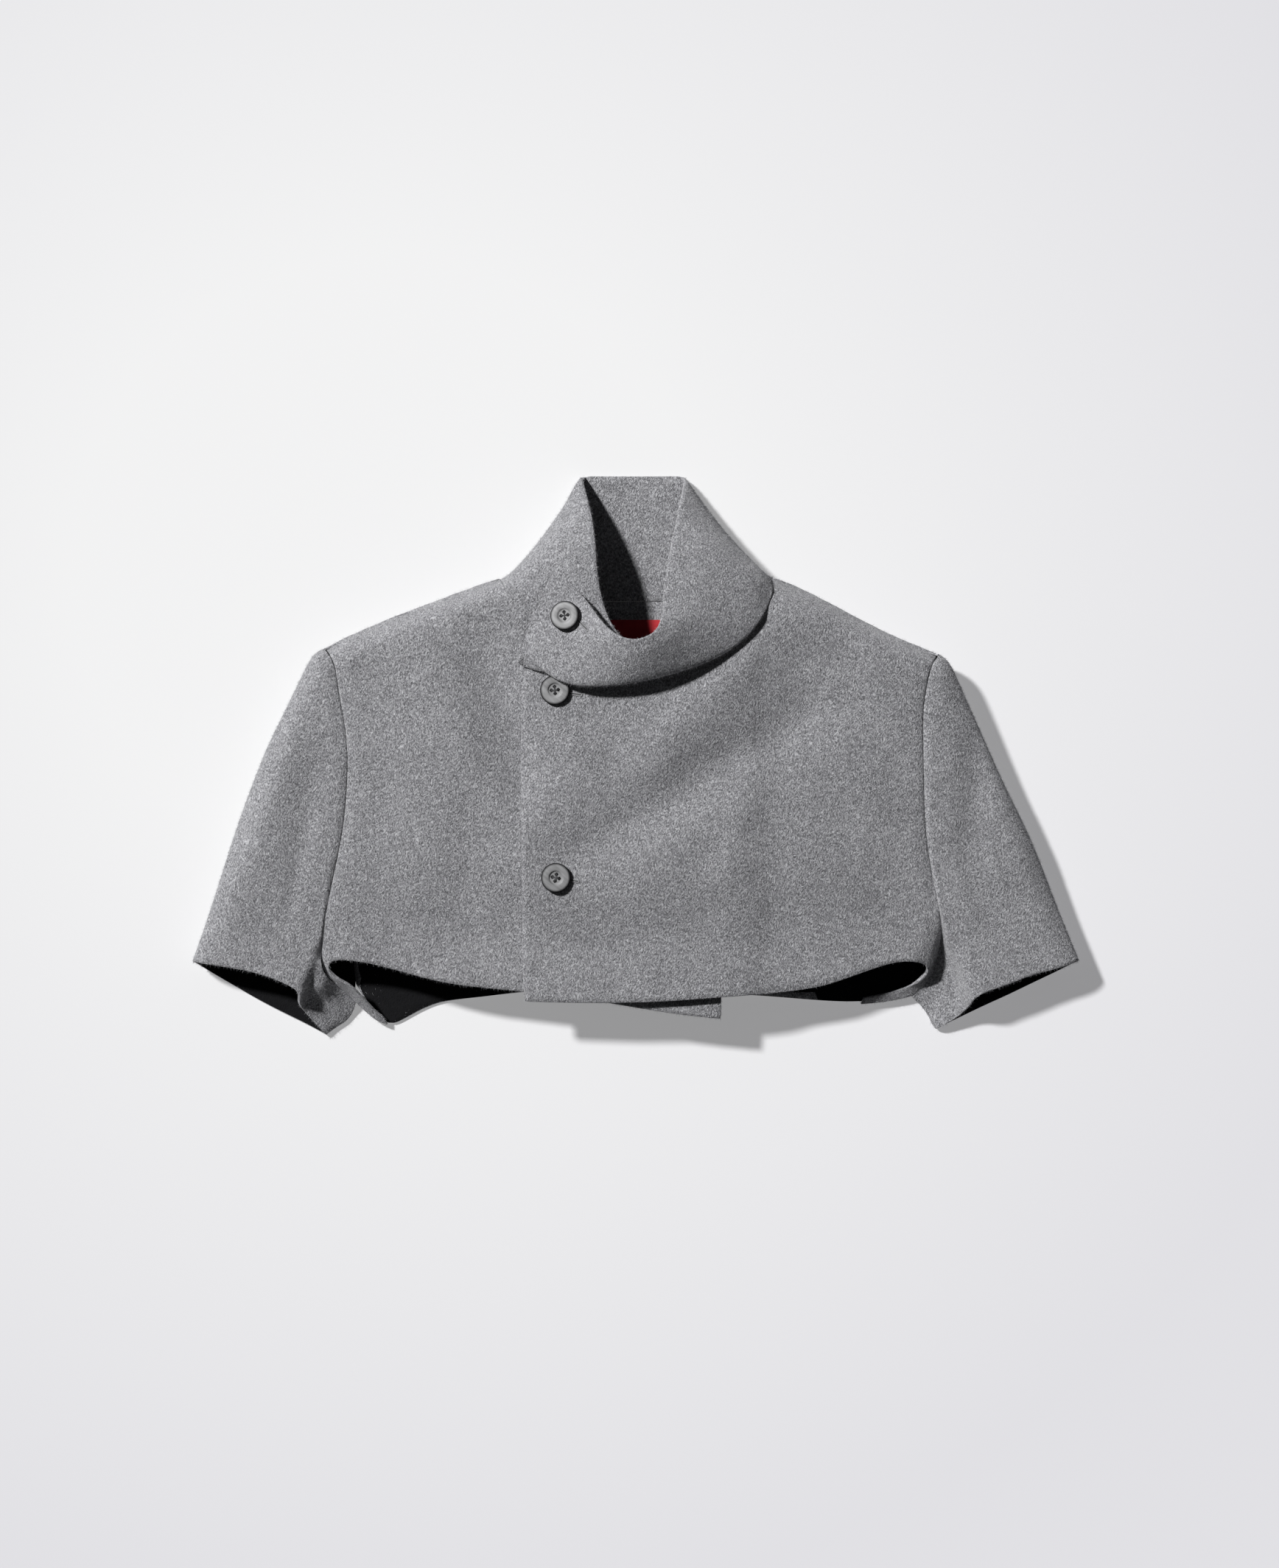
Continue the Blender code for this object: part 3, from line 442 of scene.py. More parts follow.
@dataclass
class Finishes:
    """Every material of the coat, made once."""

    wool: bpy.types.Material = material_of(WoolFinish())
    hair_dark: bpy.types.Material = material_of(
        FibreFinish("wool_hair_dark", (0.15, 0.15, 0.158, 1.0)))
    hair_middle: bpy.types.Material = material_of(
        FibreFinish("wool_hair_middle", (0.28, 0.28, 0.292, 1.0)))
    hair_pale: bpy.types.Material = material_of(
        FibreFinish("wool_hair_pale", (0.455, 0.455, 0.472, 1.0)))
    horn: bpy.types.Material = material_of(HornFinish())
    ribbon: bpy.types.Material = material_of(RibbonFinish())
    dark_thread: bpy.types.Material = material_of(
        ThreadFinish("dark_thread", (0.085, 0.085, 0.09, 1.0)))
    pale_thread: bpy.types.Material = material_of(
        ThreadFinish("pale_thread", (0.34, 0.34, 0.352, 1.0)))
    red_thread: bpy.types.Material = material_of(
        ThreadFinish("red_thread", (0.5, 0.012, 0.02, 1.0)))
    # painted shade: near-black colour for the strip that stands for the shade in each buttonhole's
    # cut
    slit_shade: bpy.types.Material = material_of(
        ThreadFinish("buttonhole_slit", (0.012, 0.012, 0.013, 1.0)))


# ---------------------------------------------------------------- geometry trees


class GeometryTree(Board):
    """A Geometry Nodes tree with named inputs that ends in one mesh."""

    def __init__(self, name: str, inputs: Mapping[str, str]) -> None:
        """Start a tree.

        Args:
            name: Its name.
            inputs: Socket types of its inputs after the geometry, by name.
        """
        super().__init__(bpy.data.node_groups.new(name, "GeometryNodeTree"))
        face = self.tree.interface
        face.new_socket("Geometry", in_out="INPUT", socket_type="NodeSocketGeometry")
        for title, kind in inputs.items():
            face.new_socket(title, in_out="INPUT", socket_type=kind)
        face.new_socket("Geometry", in_out="OUTPUT", socket_type="NodeSocketGeometry")
        self.entry = self.node("NodeGroupInput")

    def given(self, title: str) -> Wire:
        """The tree's input of that name."""
        return Wire(self, self.entry.outputs[title])

    def random(self, low: float | Sequence[float], high: float | Sequence[float],
               seed: int) -> Wire:
        """A random number or vector for each element.

        Args:
            low: Its least value.
            high: Its largest.
            seed: The seed.

        Returns:
            The random value.
        """
        if isinstance(low, float):
            return self.wire("FunctionNodeRandomValue", {"data_type": "FLOAT"},
                             {2: low, 3: high, "Seed": seed}, out=1)
        return self.wire("FunctionNodeRandomValue", {"data_type": "FLOAT_VECTOR"},
                         {0: low, 1: high, "Seed": seed})

    def end(self, geometry: Wire) -> None:
        """Make a geometry the tree's result."""
        self.node("NodeGroupOutput", None, {"Geometry": geometry})

    def run(self, name: str, source: bpy.types.Mesh,
            values: Mapping[str, Any]) -> bpy.types.Object:
        """Run the tree on a mesh and keep the result as a plain object.

        Args:
            name: The new object's name.
            source: The mesh that the tree starts from.
            values: Its inputs by name.

        Returns:
            The object, at the origin, with no modifier left.
        """
        carrier = linked(name + "_source", source)
        modifier = carrier.modifiers.new("tree", "NODES")
        modifier.node_group = self.tree
        for item in self.tree.interface.items_tree:
            if item.in_out == "INPUT" and item.name in values:
                modifier[item.identifier] = values[item.name]
        mesh = plain_mesh(carrier)
        mesh.name = name
        bpy.data.objects.remove(carrier)
        return linked(name, mesh)


def nap_tree() -> GeometryTree:
    """The tree that combs short hairs over a cloth, thinned by its attribute "nap"."""
    tree = GeometryTree("nap", {
        "Hairs per square metre": "NodeSocketFloat", "Length": "NodeSocketFloat",
        "Thickness": "NodeSocketFloat", "Stand": "NodeSocketFloat", "Combed": "NodeSocketVector",
        "Dark": "NodeSocketMaterial", "Middle": "NodeSocketMaterial", "Pale": "NodeSocketMaterial"})
    thinning = tree.wire("GeometryNodeInputNamedAttribute", {"data_type": "FLOAT"}, {"Name": "nap"})
    scatter = tree.node("GeometryNodeDistributePointsOnFaces", None, {
        "Mesh": tree.given("Geometry"), "Density": thinning * tree.given("Hairs per square metre"),
        "Seed": 11})
    normal = Wire(tree, scatter.outputs["Normal"])
    combed = tree.vector("ADD", tree.given("Combed"), tree.random((-1.0,) * 3, (1.0,) * 3, 21))
    lifted = tree.wire("ShaderNodeVectorMath", {"operation": "SCALE"},
                       {0: normal, "Scale": tree.given("Stand")})
    along = tree.vector("ADD", combed, lifted)
    rotation = tree.wire("FunctionNodeAlignRotationToVector", {"axis": "Z"}, {"Vector": along})
    length = tree.given("Length") * tree.random(0.55, 1.3, 22)
    width = tree.given("Thickness") * tree.random(0.7, 1.2, 23)
    scale = tree.wire("ShaderNodeCombineXYZ", None, {"X": width, "Y": width, "Z": length})
    hair = tree.wire("GeometryNodeMeshCone", {"fill_type": "NGON"}, {
        "Vertices": 3, "Radius Top": 0.0, "Radius Bottom": 1.0, "Depth": 1.0})
    placed = tree.wire("GeometryNodeInstanceOnPoints", None, {
        "Points": Wire(tree, scatter.outputs["Points"]), "Instance": hair, "Rotation": rotation,
        "Scale": scale})
    per_hair = {"data_type": "FLOAT", "domain": "INSTANCE"}
    toned = tree.wire("GeometryNodeStoreNamedAttribute", per_hair, {
        "Geometry": placed, "Name": "tone", "Value": tree.random(0.0, 1.0, 24)})
    real = tree.wire("GeometryNodeRealizeInstances", None, {"Geometry": toned})
    tone = tree.wire("GeometryNodeInputNamedAttribute", {"data_type": "FLOAT"}, {"Name": "tone"})
    paler = {"data_type": "FLOAT", "operation": "GREATER_THAN"}
    for title, above in (("Dark", -1.0), ("Middle", 0.34), ("Pale", 0.62)):
        chosen = tree.wire("FunctionNodeCompare", paler, {0: tone, 1: above})
        real = tree.wire("GeometryNodeSetMaterial", None, {
            "Geometry": real, "Selection": chosen, "Material": tree.given(title)})
    tree.end(real)
    return tree


def stitch_tree() -> GeometryTree:
    """The tree that lays stitches along a line of edges, each turned from the line by a slant.

    The line's attribute "up" is the way each stitch faces.
    """
    tree = GeometryTree("stitches", {
        "Spacing": "NodeSocketFloat", "Length": "NodeSocketFloat", "Thickness": "NodeSocketFloat",
        "Slant": "NodeSocketFloat", "Thread": "NodeSocketMaterial"})
    line = tree.wire("GeometryNodeMeshToCurve", None, {"Mesh": tree.given("Geometry")})
    spread = tree.node("GeometryNodeCurveToPoints", {"mode": "LENGTH"}, {
        "Curve": line, "Length": tree.given("Spacing")})
    up = tree.wire("GeometryNodeInputNamedAttribute", {"data_type": "FLOAT_VECTOR"}, {"Name": "up"})
    facing = tree.wire("FunctionNodeAlignRotationToVector", {"axis": "Z"}, {"Vector": up})
    along = tree.wire("FunctionNodeAlignRotationToVector", {"axis": "X", "pivot_axis": "Z"}, {
        "Rotation": facing, "Vector": Wire(tree, spread.outputs["Tangent"])})
    jitter = tree.given("Slant") + tree.random(-0.12, 0.12, 31)
    slant = tree.wire("ShaderNodeCombineXYZ", None, {"Z": jitter})
    turned = tree.wire("FunctionNodeRotateRotation", {"rotation_space": "LOCAL"}, {
        "Rotation": along, "Rotate By": slant})
    length = tree.given("Length") * tree.random(0.88, 1.1, 32)
    scale = tree.wire("ShaderNodeCombineXYZ", None, {
        "X": length, "Y": tree.given("Thickness"), "Z": tree.given("Thickness")})
    thread = tree.wire("GeometryNodeMeshUVSphere", None, {"Segments": 8, "Rings": 6, "Radius": 0.5})
    placed = tree.wire("GeometryNodeInstanceOnPoints", None, {
        "Points": Wire(tree, spread.outputs["Points"]), "Instance": thread, "Rotation": turned,
        "Scale": scale})
    real = tree.wire("GeometryNodeRealizeInstances", None, {"Geometry": placed})
    smooth = tree.wire("GeometryNodeSetShadeSmooth", None, {"Geometry": real})
    tree.end(tree.wire("GeometryNodeSetMaterial", None, {
        "Geometry": smooth, "Material": tree.given("Thread")}))
    return tree


# ---------------------------------------------------------------- creases


@dataclass(frozen=True)
class Crease:
    """A soft trough or ridge in the coat's upper layers, between two pixels of the photograph.

    It runs through every panel there, or one only, and fades towards its ends or stays even.
    """

    column_a: float
    row_a: float
    column_b: float
    row_b: float
    half_width: float
    rise: float
    only: str = ""
    even: bool = False

    FADE_IN = (-0.15, 0.25)
    FADE_OUT = (0.7, 1.15)

    def rise_at(self, plan: np.ndarray) -> np.ndarray:
        """How far the crease lifts the cloth.

        Args:
            plan: Plan points, metres.

        Returns:
            The lift at each, metres.
        """
        start = np.array(place(self.column_a, self.row_a))[:2]
        line = np.array(place(self.column_b, self.row_b))[:2] - start
        share = (plan - start) @ line / (line @ line)
        held = np.clip(share, 0.0, 1.0)
        away = np.linalg.norm(plan - (start + held[:, None] * line), axis=1)
        fade = 1.0 if self.even else (
            smooth_step(share, *self.FADE_IN) * (1.0 - smooth_step(share, *self.FADE_OUT)))
        return self.rise * MM * fade * np.exp(-((away / (self.half_width * MM)) ** 2))


CREASES = (
    Crease(652, 850, 706, 1065, 15, -1.9),
    Crease(716, 955, 714, 1112, 15, -2.3),
    Crease(600, 880, 660, 1080, 13, 1.2),
    Crease(1085, 830, 880, 1020, 17, 1.6),
    Crease(1120, 962, 765, 1175, 18, -2.1),
    Crease(560, 860, 640, 1010, 13, 1.1),
    Crease(505, 890, 520, 1130, 15, -1.0),
    Crease(560, 1010, 575, 1290, 16, 0.8),
    Crease(640, 1080, 630, 1320, 14, -0.8),
    Crease(800, 980, 740, 1120, 14, 0.9),
    Crease(880, 1080, 860, 1320, 17, 0.8),
    Crease(955, 1130, 950, 1330, 15, -0.8),
    Crease(1040, 960, 990, 1180, 14, 1.0),
    Crease(1130, 870, 1190, 1010, 12, -1.0),
    Crease(1195, 1010, 1150, 1290, 16, 0.9),
    Crease(430, 960, 345, 1180, 10, -0.5),
    Crease(395, 1010, 300, 1250, 9, 1.0),
    Crease(440, 1110, 395, 1290, 8, 1.0),
    Crease(1290, 950, 1385, 1210, 10, -1.2),
    Crease(1345, 1060, 1425, 1270, 9, 1.0),
    Crease(1280, 1120, 1325, 1300, 8, 0.9),
    Crease(441, 1300, 437, 1352, 9, 6.5, only="sleeve_left"),
    Crease(345, 985, 262, 1262, 26, -3.2, only="sleeve_left"),
    Crease(1288, 1280, 1298, 1374, 8, -4.0, only="sleeve_right"),
    Crease(1385, 985, 1468, 1262, 26, -3.5, only="sleeve_right"),
    Crease(1050, 782, 1038, 838, 9, -3.8, only="collar"),
    Crease(770, 868, 935, 848, 13, 3.0, only="collar"),
    Crease(747, 790, 706, 905, 5, -1.8),
    Crease(560, 1325, 1240, 1325, 38, 4.0),
    # the shoulder seams, where front and back are drawn together
    Crease(441, 878, 676, 783, 6.5, -5.0, only="front_inner", even=True),
    Crease(441, 878, 676, 783, 6.5, 5.2, only="back", even=True),
    Crease(1276, 891, 1052, 784, 6.5, -5.2, only="front_outer", even=True),
    Crease(1276, 891, 1052, 784, 6.5, 5.2, only="back", even=True),
)


@dataclass(frozen=True)
class Drape:
    """The small unevenness of thick cloth over the form of its solids.

    The ripple and most creases lift every layer alike at a plan point. A crease with a panel's name
    lifts that panel alone, so it is kept to where no other layer is in its way. Nothing is lifted
    near the floor or under a button.
    """

    creases: tuple[Crease, ...]
    still: tuple[Vector, ...]
    still_radius: float = 24 * MM
    floor_zone: tuple[float, float] = (7 * MM, 20 * MM)
    ripple: float = 0.45 * MM
    ripple_size: float = 26 * MM

    def lift(self, points: np.ndarray, node: str) -> np.ndarray:
        """The lift of each point.

        Args:
            points: Points of the cloth, metres.
            node: The panel that they belong to.

        Returns:
            The lift along +Z, metres.
        """
        plan = points[:, :2]
        lift = sum(crease.rise_at(plan) for crease in self.creases if crease.only in ("", node))
        lift = lift + self.ripple * np.array([
            noise.noise(Vector((x, y, 0.0)) / self.ripple_size) for x, y in plan])
        for centre in self.still:
            away = np.linalg.norm(plan - np.array(centre)[:2], axis=1)
            lift *= 1.0 - np.exp(-((away / self.still_radius) ** 2))
        return lift * smooth_step(points[:, 2], *self.floor_zone)


# ---------------------------------------------------------------- cloth panels


class Skin(enum.Enum):
    """How a wall's outer skin is told from its inner one."""

    HIGHER = "it is the upper one"
    LOWER = "it is the lower one"
    LARGER = "it has more cloth"


class ShadedSide(enum.Enum):
    """Which part of a wall's inner skin gets the painted shade of the hollows."""

    WHOLE = "all of it"
    FACING_DOWN = "what hangs over the inside, not what is folded under it"


@dataclass
class Panel:
    """One cut piece of cloth, in place of its solid.

    Attributes:
        node: The solid it stands for.
        skin: Which of the wall's two skins is the outer one.
        cut: Width and length of the rectangle that the piece is cut from, metres.
        area: The cut's area, square metres.
        hollow_shaded: Whether the inside gets the painted near-black shade of the hollows.
        unshaded_inside: A disc of the inside left without painted shade, in the coating's colour:
            its centre and radius.
        shaded_side: Which part of the inside gets the painted shade.
        levels: How many times each face is divided.
        shape: The panel's object, once it is built.
    """

    node: str
    skin: Skin
    cut: tuple[float, float]
    area: float
    hollow_shaded: bool = True
    unshaded_inside: tuple[Vector, float] | None = None
    shaded_side: ShadedSide = ShadedSide.WHOLE
    levels: int = 2
    shape: bpy.types.Object | None = None

    WELD = 0.01 * MM
    JOIN_ANGLE = math.radians(40)
    JOIN_SHAPE = math.radians(179)
    RIM_ANGLE = math.radians(52)
    RIM_CREASE = 0.55
    DOWN_EASE = (0.0, 0.3)
    UNSHADED_EASE = 12 * MM
    NAP_EASE = (0.3, 0.6)

    def wall(self, solid: bpy.types.Object) -> bmesh.types.BMesh:
        """The solid's mesh with its faces joined up, its rims creased and its inner skin marked.

        Args:
            solid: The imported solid.

        Returns:
            The coarse wall, its inner skin's faces numbered 1.
        """
        build = bmesh.new()
        build.from_mesh(solid.data)
        bmesh.ops.remove_doubles(build, verts=build.verts[:], dist=self.WELD)
        bmesh.ops.join_triangles(build, faces=build.faces[:], angle_face_threshold=self.JOIN_ANGLE,
                                 angle_shape_threshold=self.JOIN_SHAPE)
        build.normal_update()
        groups = self.smooth_groups(build)
        groups.sort(key=lambda group: -sum(face.calc_area() for face in group))
        inner = set(self.inner_of(groups[:2]))
        crease = build.edges.layers.float.new("crease_edge")
        for edge in build.edges:
            if len(edge.link_faces) == 2 and edge.calc_face_angle() >= self.RIM_ANGLE:
                edge[crease] = self.RIM_CREASE
        for face in build.faces:
            face.material_index = int(face in inner)
        return build

    def smooth_groups(self, build: bmesh.types.BMesh) -> list[list[bmesh.types.BMFace]]:
        """Faces joined over edges that turn less than a rim does."""
        groups, seen = [], set()
        for start in build.faces:
            if start in seen:
                continue
            group, seen_now = [start], {start}
            for face in group:
                for edge in face.edges:
                    if len(edge.link_faces) == 2 and edge.calc_face_angle() < self.RIM_ANGLE:
                        fresh = [near for near in edge.link_faces if near not in seen_now]
                        seen_now.update(fresh)
                        group.extend(fresh)
            seen |= seen_now
            groups.append(group)
        return groups

    def inner_of(self, skins: Sequence[list[bmesh.types.BMFace]]) -> list[bmesh.types.BMFace]:
        """The inner one of a wall's two skins, of which the first is the larger."""
        if self.skin is Skin.LARGER:
            return skins[1]
        heights = [sum(f.calc_center_median().z * f.calc_area() for f in skin)
                   / sum(f.calc_area() for f in skin) for skin in skins]
        low, high = (skins[0], skins[1]) if heights[0] < heights[1] else (skins[1], skins[0])
        return low if self.skin is Skin.HIGHER else high

    def build(self, solid: bpy.types.Object, drape: Drape, finishes: Finishes) -> bpy.types.Object:
        """Make the panel.

        Args:
            solid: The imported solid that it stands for.
            drape: The small lift of the cloth.
            finishes: The coat's materials.

        Returns:
            The panel's object.
        """
        carrier = mesh_object(self.node + "_coarse", self.wall(solid))
        finer = carrier.modifiers.new("finer", "SUBSURF")
        finer.levels = finer.render_levels = self.levels
        fine = plain_mesh(carrier)
        bpy.data.objects.remove(carrier)
        fine.name = self.node + "_cloth"
        points = coordinates(fine)
        points[:, 2] = np.maximum(points[:, 2] + drape.lift(points, self.node), 0.0)
        fine.vertices.foreach_set("co", points.astype(np.float32).ravel())
        self.mark_hollow_shade(fine, points)
        fine.materials.clear()
        fine.materials.append(finishes.wool)
        fine.shade_smooth()
        self.shape = linked(self.node + "_cloth", fine)
        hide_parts(self.node)
        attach(self.shape, ROOT)
        return self.shape

    def mark_hollow_shade(self, mesh: bpy.types.Mesh, points: np.ndarray) -> None:
        """Store which points are on the inner skin, and how much painted shade each face corner
        gets.

        Args:
            mesh: The fine wall, its inner skin's faces numbered 1. They are numbered 0 after.
            points: Its points.
        """
        inner_faces = np.empty(len(mesh.polygons), np.int32)
        mesh.polygons.foreach_get("material_index", inner_faces)
        sides = np.empty(len(mesh.polygons), np.int32)
        mesh.polygons.foreach_get("loop_total", sides)
        corners = np.empty(len(mesh.loops), np.int32)
        mesh.loops.foreach_get("vertex_index", corners)
        inner = np.repeat(inner_faces, sides).astype(float)
        meeting = np.bincount(corners, minlength=len(points))
        write_floats(mesh, "inner", np.bincount(corners, inner, len(points)) / meeting)
        mesh.polygons.foreach_set("material_index", np.zeros_like(inner_faces))

        # painted shade: the inner skin is marked to be coloured near black where the hollows lie in
        # shade; the folded-under parts facing up and the disc inside the back neck keep the
        # coating's colour
        lining = inner if self.hollow_shaded else np.zeros_like(inner)
        if self.shaded_side is ShadedSide.FACING_DOWN:
            lining = lining * smooth_step(-normals_of(mesh)[corners, 2], *self.DOWN_EASE)
        if self.unshaded_inside:
            centre, radius = self.unshaded_inside
            off = np.linalg.norm(points[corners] - np.array(centre), axis=1)
            lining = lining * smooth_step(off, radius, radius + self.UNSHADED_EASE)
        write_floats(mesh, "lining", lining, "CORNER")

    def comb(self, tree: GeometryTree, walls: BVHTree, hair: Hair,
             finishes: Finishes) -> bpy.types.Object:
        """Grow the panel's nap where nothing lies against it.

        Args:
            tree: The nap's tree.
            walls: Every panel's faces.
            hair: The hairs' sizes.
            finishes: The coat's materials.

        Returns:
            The nap's object.
        """
        mesh = self.shape.data.copy()
        points, normals = coordinates(mesh), normals_of(mesh)
        free = 1.0 - smooth_step(read_floats(mesh, "inner"), *self.NAP_EASE)
        for number in np.flatnonzero(free > 0):
            start, way = Vector(points[number]), Vector(normals[number])
            if start.z < hair.lowest or walls.ray_cast(start + way * hair.clear, way, hair.room)[0]:
                free[number] = 0.0
        write_floats(mesh, "nap", free)
        nap = tree.run(self.node + "_nap", mesh, hair.values(finishes))
        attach(nap, ROOT)
        return nap

    def declare(self, with_pieces: Sequence[bpy.types.Object], rests_on: Sequence[str]) -> None:
        """Do nothing; the cloth's cut is not stated here.

        Args:
            with_pieces: What is sewn on or grows from it. Not used.
            rests_on: The pieces that it lies on. Not used.
        """


@dataclass(frozen=True)
class Hair:
    """Sizes of the nap's hairs."""

    per_square_metre: float = 450_000.0
    length: float = 2.3 * MM
    thickness: float = 0.085 * MM
    stand: float = 0.95
    combed: tuple[float, float, float] = (0.15, -0.7, 0.0)
    lowest: float = 2.3 * MM
    clear: float = 0.5 * MM
    room: float = 3.5 * MM

    def values(self, finishes: Finishes) -> dict[str, Any]:
        """The nap tree's inputs."""
        return {"Hairs per square metre": self.per_square_metre, "Length": self.length,
                "Thickness": self.thickness, "Stand": self.stand, "Combed": self.combed,
                "Dark": finishes.hair_dark, "Middle": finishes.hair_middle,
                "Pale": finishes.hair_pale}


def coordinates(mesh: bpy.types.Mesh) -> np.ndarray:
    """A mesh's points as rows."""
    flat = np.empty(len(mesh.vertices) * 3, np.float32)
    mesh.vertices.foreach_get("co", flat)
    return flat.reshape(-1, 3).astype(float)


def normals_of(mesh: bpy.types.Mesh) -> np.ndarray:
    """A mesh's vertex normals as rows."""
    return np.array([normal.vector for normal in mesh.vertex_normals])


def read_floats(mesh: bpy.types.Mesh, name: str) -> np.ndarray:
    """A point attribute's values."""
    values = np.empty(len(mesh.vertices), np.float32)
    mesh.attributes[name].data.foreach_get("value", values)
    return values


def write_floats(mesh: bpy.types.Mesh, name: str, values: np.ndarray,
                 domain: str = "POINT") -> None:
    """Store an attribute of a mesh's points, or of another of its domains."""
    layer = mesh.attributes.new(name, "FLOAT", domain)
    layer.data.foreach_set("value", np.asarray(values, np.float32))


def bvh_of(objects: Iterable[bpy.types.Object]) -> BVHTree:
    """One search tree over several objects' faces.

    Args:
        objects: Mesh objects at the origin.

    Returns:
        The tree.
    """
    points: list[Vector] = []
    faces: list[tuple[int, ...]] = []
    for item in objects:
        start = len(points)
        points.extend(vert.co for vert in item.data.vertices)
        faces.extend(tuple(start + index for index in face.vertices) for face in item.data.polygons)
    return BVHTree.FromPolygons(points, faces)


# ---------------------------------------------------------------- buttons and sewing


@dataclass
class Button:
    """A four-hole button, its broad flat rim round a dished middle, sewn on with crossed thread."""

    node: str
    hole_turn: float
    radius: float = 11.75 * MM
    height: float = 3.6 * MM
    hole_radius: float = 1.25 * MM
    hole_centre: float = 2.7 * MM
    sides: int = 72
    profile: tuple[tuple[float, float], ...] = (
        (0.0, 0.66), (0.33, 0.66), (0.39, 0.68), (0.43, 0.74), (0.455, 0.86), (0.49, 0.95),
        (0.56, 1.0), (0.70, 0.995), (0.82, 0.98), (0.90, 0.93), (0.955, 0.85), (0.985, 0.70),
        (1.0, 0.5), (0.985, 0.28), (0.94, 0.1), (0.84, 0.0), (0.0, 0.0))
    # where the painted shade of the crevice round the button begins, as a share of the radius
    shade_ring_from: float = 0.90

    FLAT_ANGLE = math.radians(38)
    # the bow of the thread's lines, millimetres, and how far they reach past the holes' middles
    LOW_RISE = 0.35
    RISE_STEP = 0.3
    END_DIP = 0.5
    STRANDS_APART = 0.6
    THREAD_REACH = 1.08

    def hole_centres(self) -> list[Vector]:
        """The middles of the four holes, about the button's axis."""
        turns = [self.hole_turn + quarter * math.pi / 2 for quarter in range(4)]
        return [Vector((math.cos(turn), math.sin(turn), 0.0)) * self.hole_centre for turn in turns]

    def seat(self) -> Matrix:
        """Where the solid button lies. +Z is its axis here, the origin its underside's middle."""
        points = np.array([vert.co for vert in bpy.data.objects[self.node].data.vertices])
        middle = points.mean(axis=0)
        axis = np.linalg.svd(points - middle)[2][2]
        axis = axis if axis[2] > 0 else -axis
        foot = Vector(middle + axis * ((points - middle) @ axis).min())
        return Matrix.Translation(foot) @ Vector(axis).to_track_quat("Z", "Y").to_matrix().to_4x4()

    def turned(self) -> bpy.types.Object:
        """The button's body, turned about +Z, with its holes."""
        build = bmesh.new()
        verts = [build.verts.new((share * self.radius, 0.0, high * self.height))
                 for share, high in self.profile]
        edges = [build.edges.new(pair) for pair in zip(verts, verts[1:])]
        bmesh.ops.spin(build, geom=verts + edges, cent=(0, 0, 0), axis=(0, 0, 1), angle=math.tau,
                       steps=self.sides, use_merge=True)
        bmesh.ops.remove_doubles(build, verts=build.verts[:], dist=0.001 * MM)
        bmesh.ops.recalc_face_normals(build, faces=build.faces[:])
        body = mesh_object(self.node + "_turned", build)
        cutter = bmesh.new()
        for centre in self.hole_centres():
            made = bmesh.ops.create_cone(cutter, cap_ends=True, segments=20, depth=4 * self.height,
                                         radius1=self.hole_radius, radius2=self.hole_radius)
            bmesh.ops.translate(cutter, verts=made["verts"], vec=centre)
        holes = mesh_object(self.node + "_holes", cutter)
        cut = body.modifiers.new("holes", "BOOLEAN")
        cut.operation = "DIFFERENCE"
        cut.object = holes
        mesh = plain_mesh(body)
        bpy.data.objects.remove(holes)
        bpy.data.objects.remove(body)
        return linked(self.node + "_horn", mesh)

    def build(self, tree: GeometryTree, finishes: Finishes) -> list[bpy.types.Object]:
        """Make the button and its thread.

        Args:
            tree: The stitches' tree.
            finishes: The coat's materials.

        Returns:
            The pieces.
        """
        button = self.turned()
        mesh = button.data
        points = coordinates(mesh)
        # painted shade: the rim's outer ring and the hole walls are marked to be coloured near
        # black
        out = np.linalg.norm(points[:, :2], axis=1) / self.radius
        edge = smooth_step(out, self.shade_ring_from - 0.02, self.shade_ring_from + 0.015)
        for centre in self.hole_centres():
            away = np.linalg.norm(points[:, :2] - np.array(centre)[:2], axis=1)
            edge = np.maximum(edge, away < self.hole_radius * 1.02)
        write_floats(mesh, "edge", edge)
        mesh.materials.clear()
        mesh.materials.append(finishes.horn)
        mesh.shade_smooth()
        mesh.set_sharp_from_angle(angle=self.FLAT_ANGLE)
        thread = tree.run(self.node + "_thread", self.crossed_lines(), {
            "Spacing": 0.5 * MM, "Length": 1.4 * MM, "Thickness": 0.3 * MM, "Slant": 0.12,
            "Thread": finishes.dark_thread})
        for piece in (button, thread):
            piece.data.transform(self.seat())
            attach(piece, ROOT)
        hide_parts(self.node)
        return [button, thread]

    def crossed_lines(self) -> bpy.types.Mesh:
        """Two bowed lines over the middle, between opposite holes, with strands side by side."""
        build = bmesh.new()
        level = self.profile[0][1] * self.height
        for half in range(2):
            turn = self.hole_turn + half * math.pi / 2
            way = Vector((math.cos(turn), math.sin(turn), 0.0))
            side = Vector((-way.y, way.x, 0.0))
            for strand in (-0.5, 0.5):
                points = []
                for share in np.linspace(-1.0, 1.0, 9):
                    rise = ((self.LOW_RISE + self.RISE_STEP * half) * MM * (1 - share ** 4)
                            - self.END_DIP * MM * share ** 8)
                    points.append(way * (share * self.hole_centre * self.THREAD_REACH)
                                  + side * (strand * self.STRANDS_APART * MM)
                                  + Vector((0, 0, level + rise)))
                add_line(build, points)
        return line_mesh(self.node + "_lines", build, lambda point: Vector((0, 0, 1)))


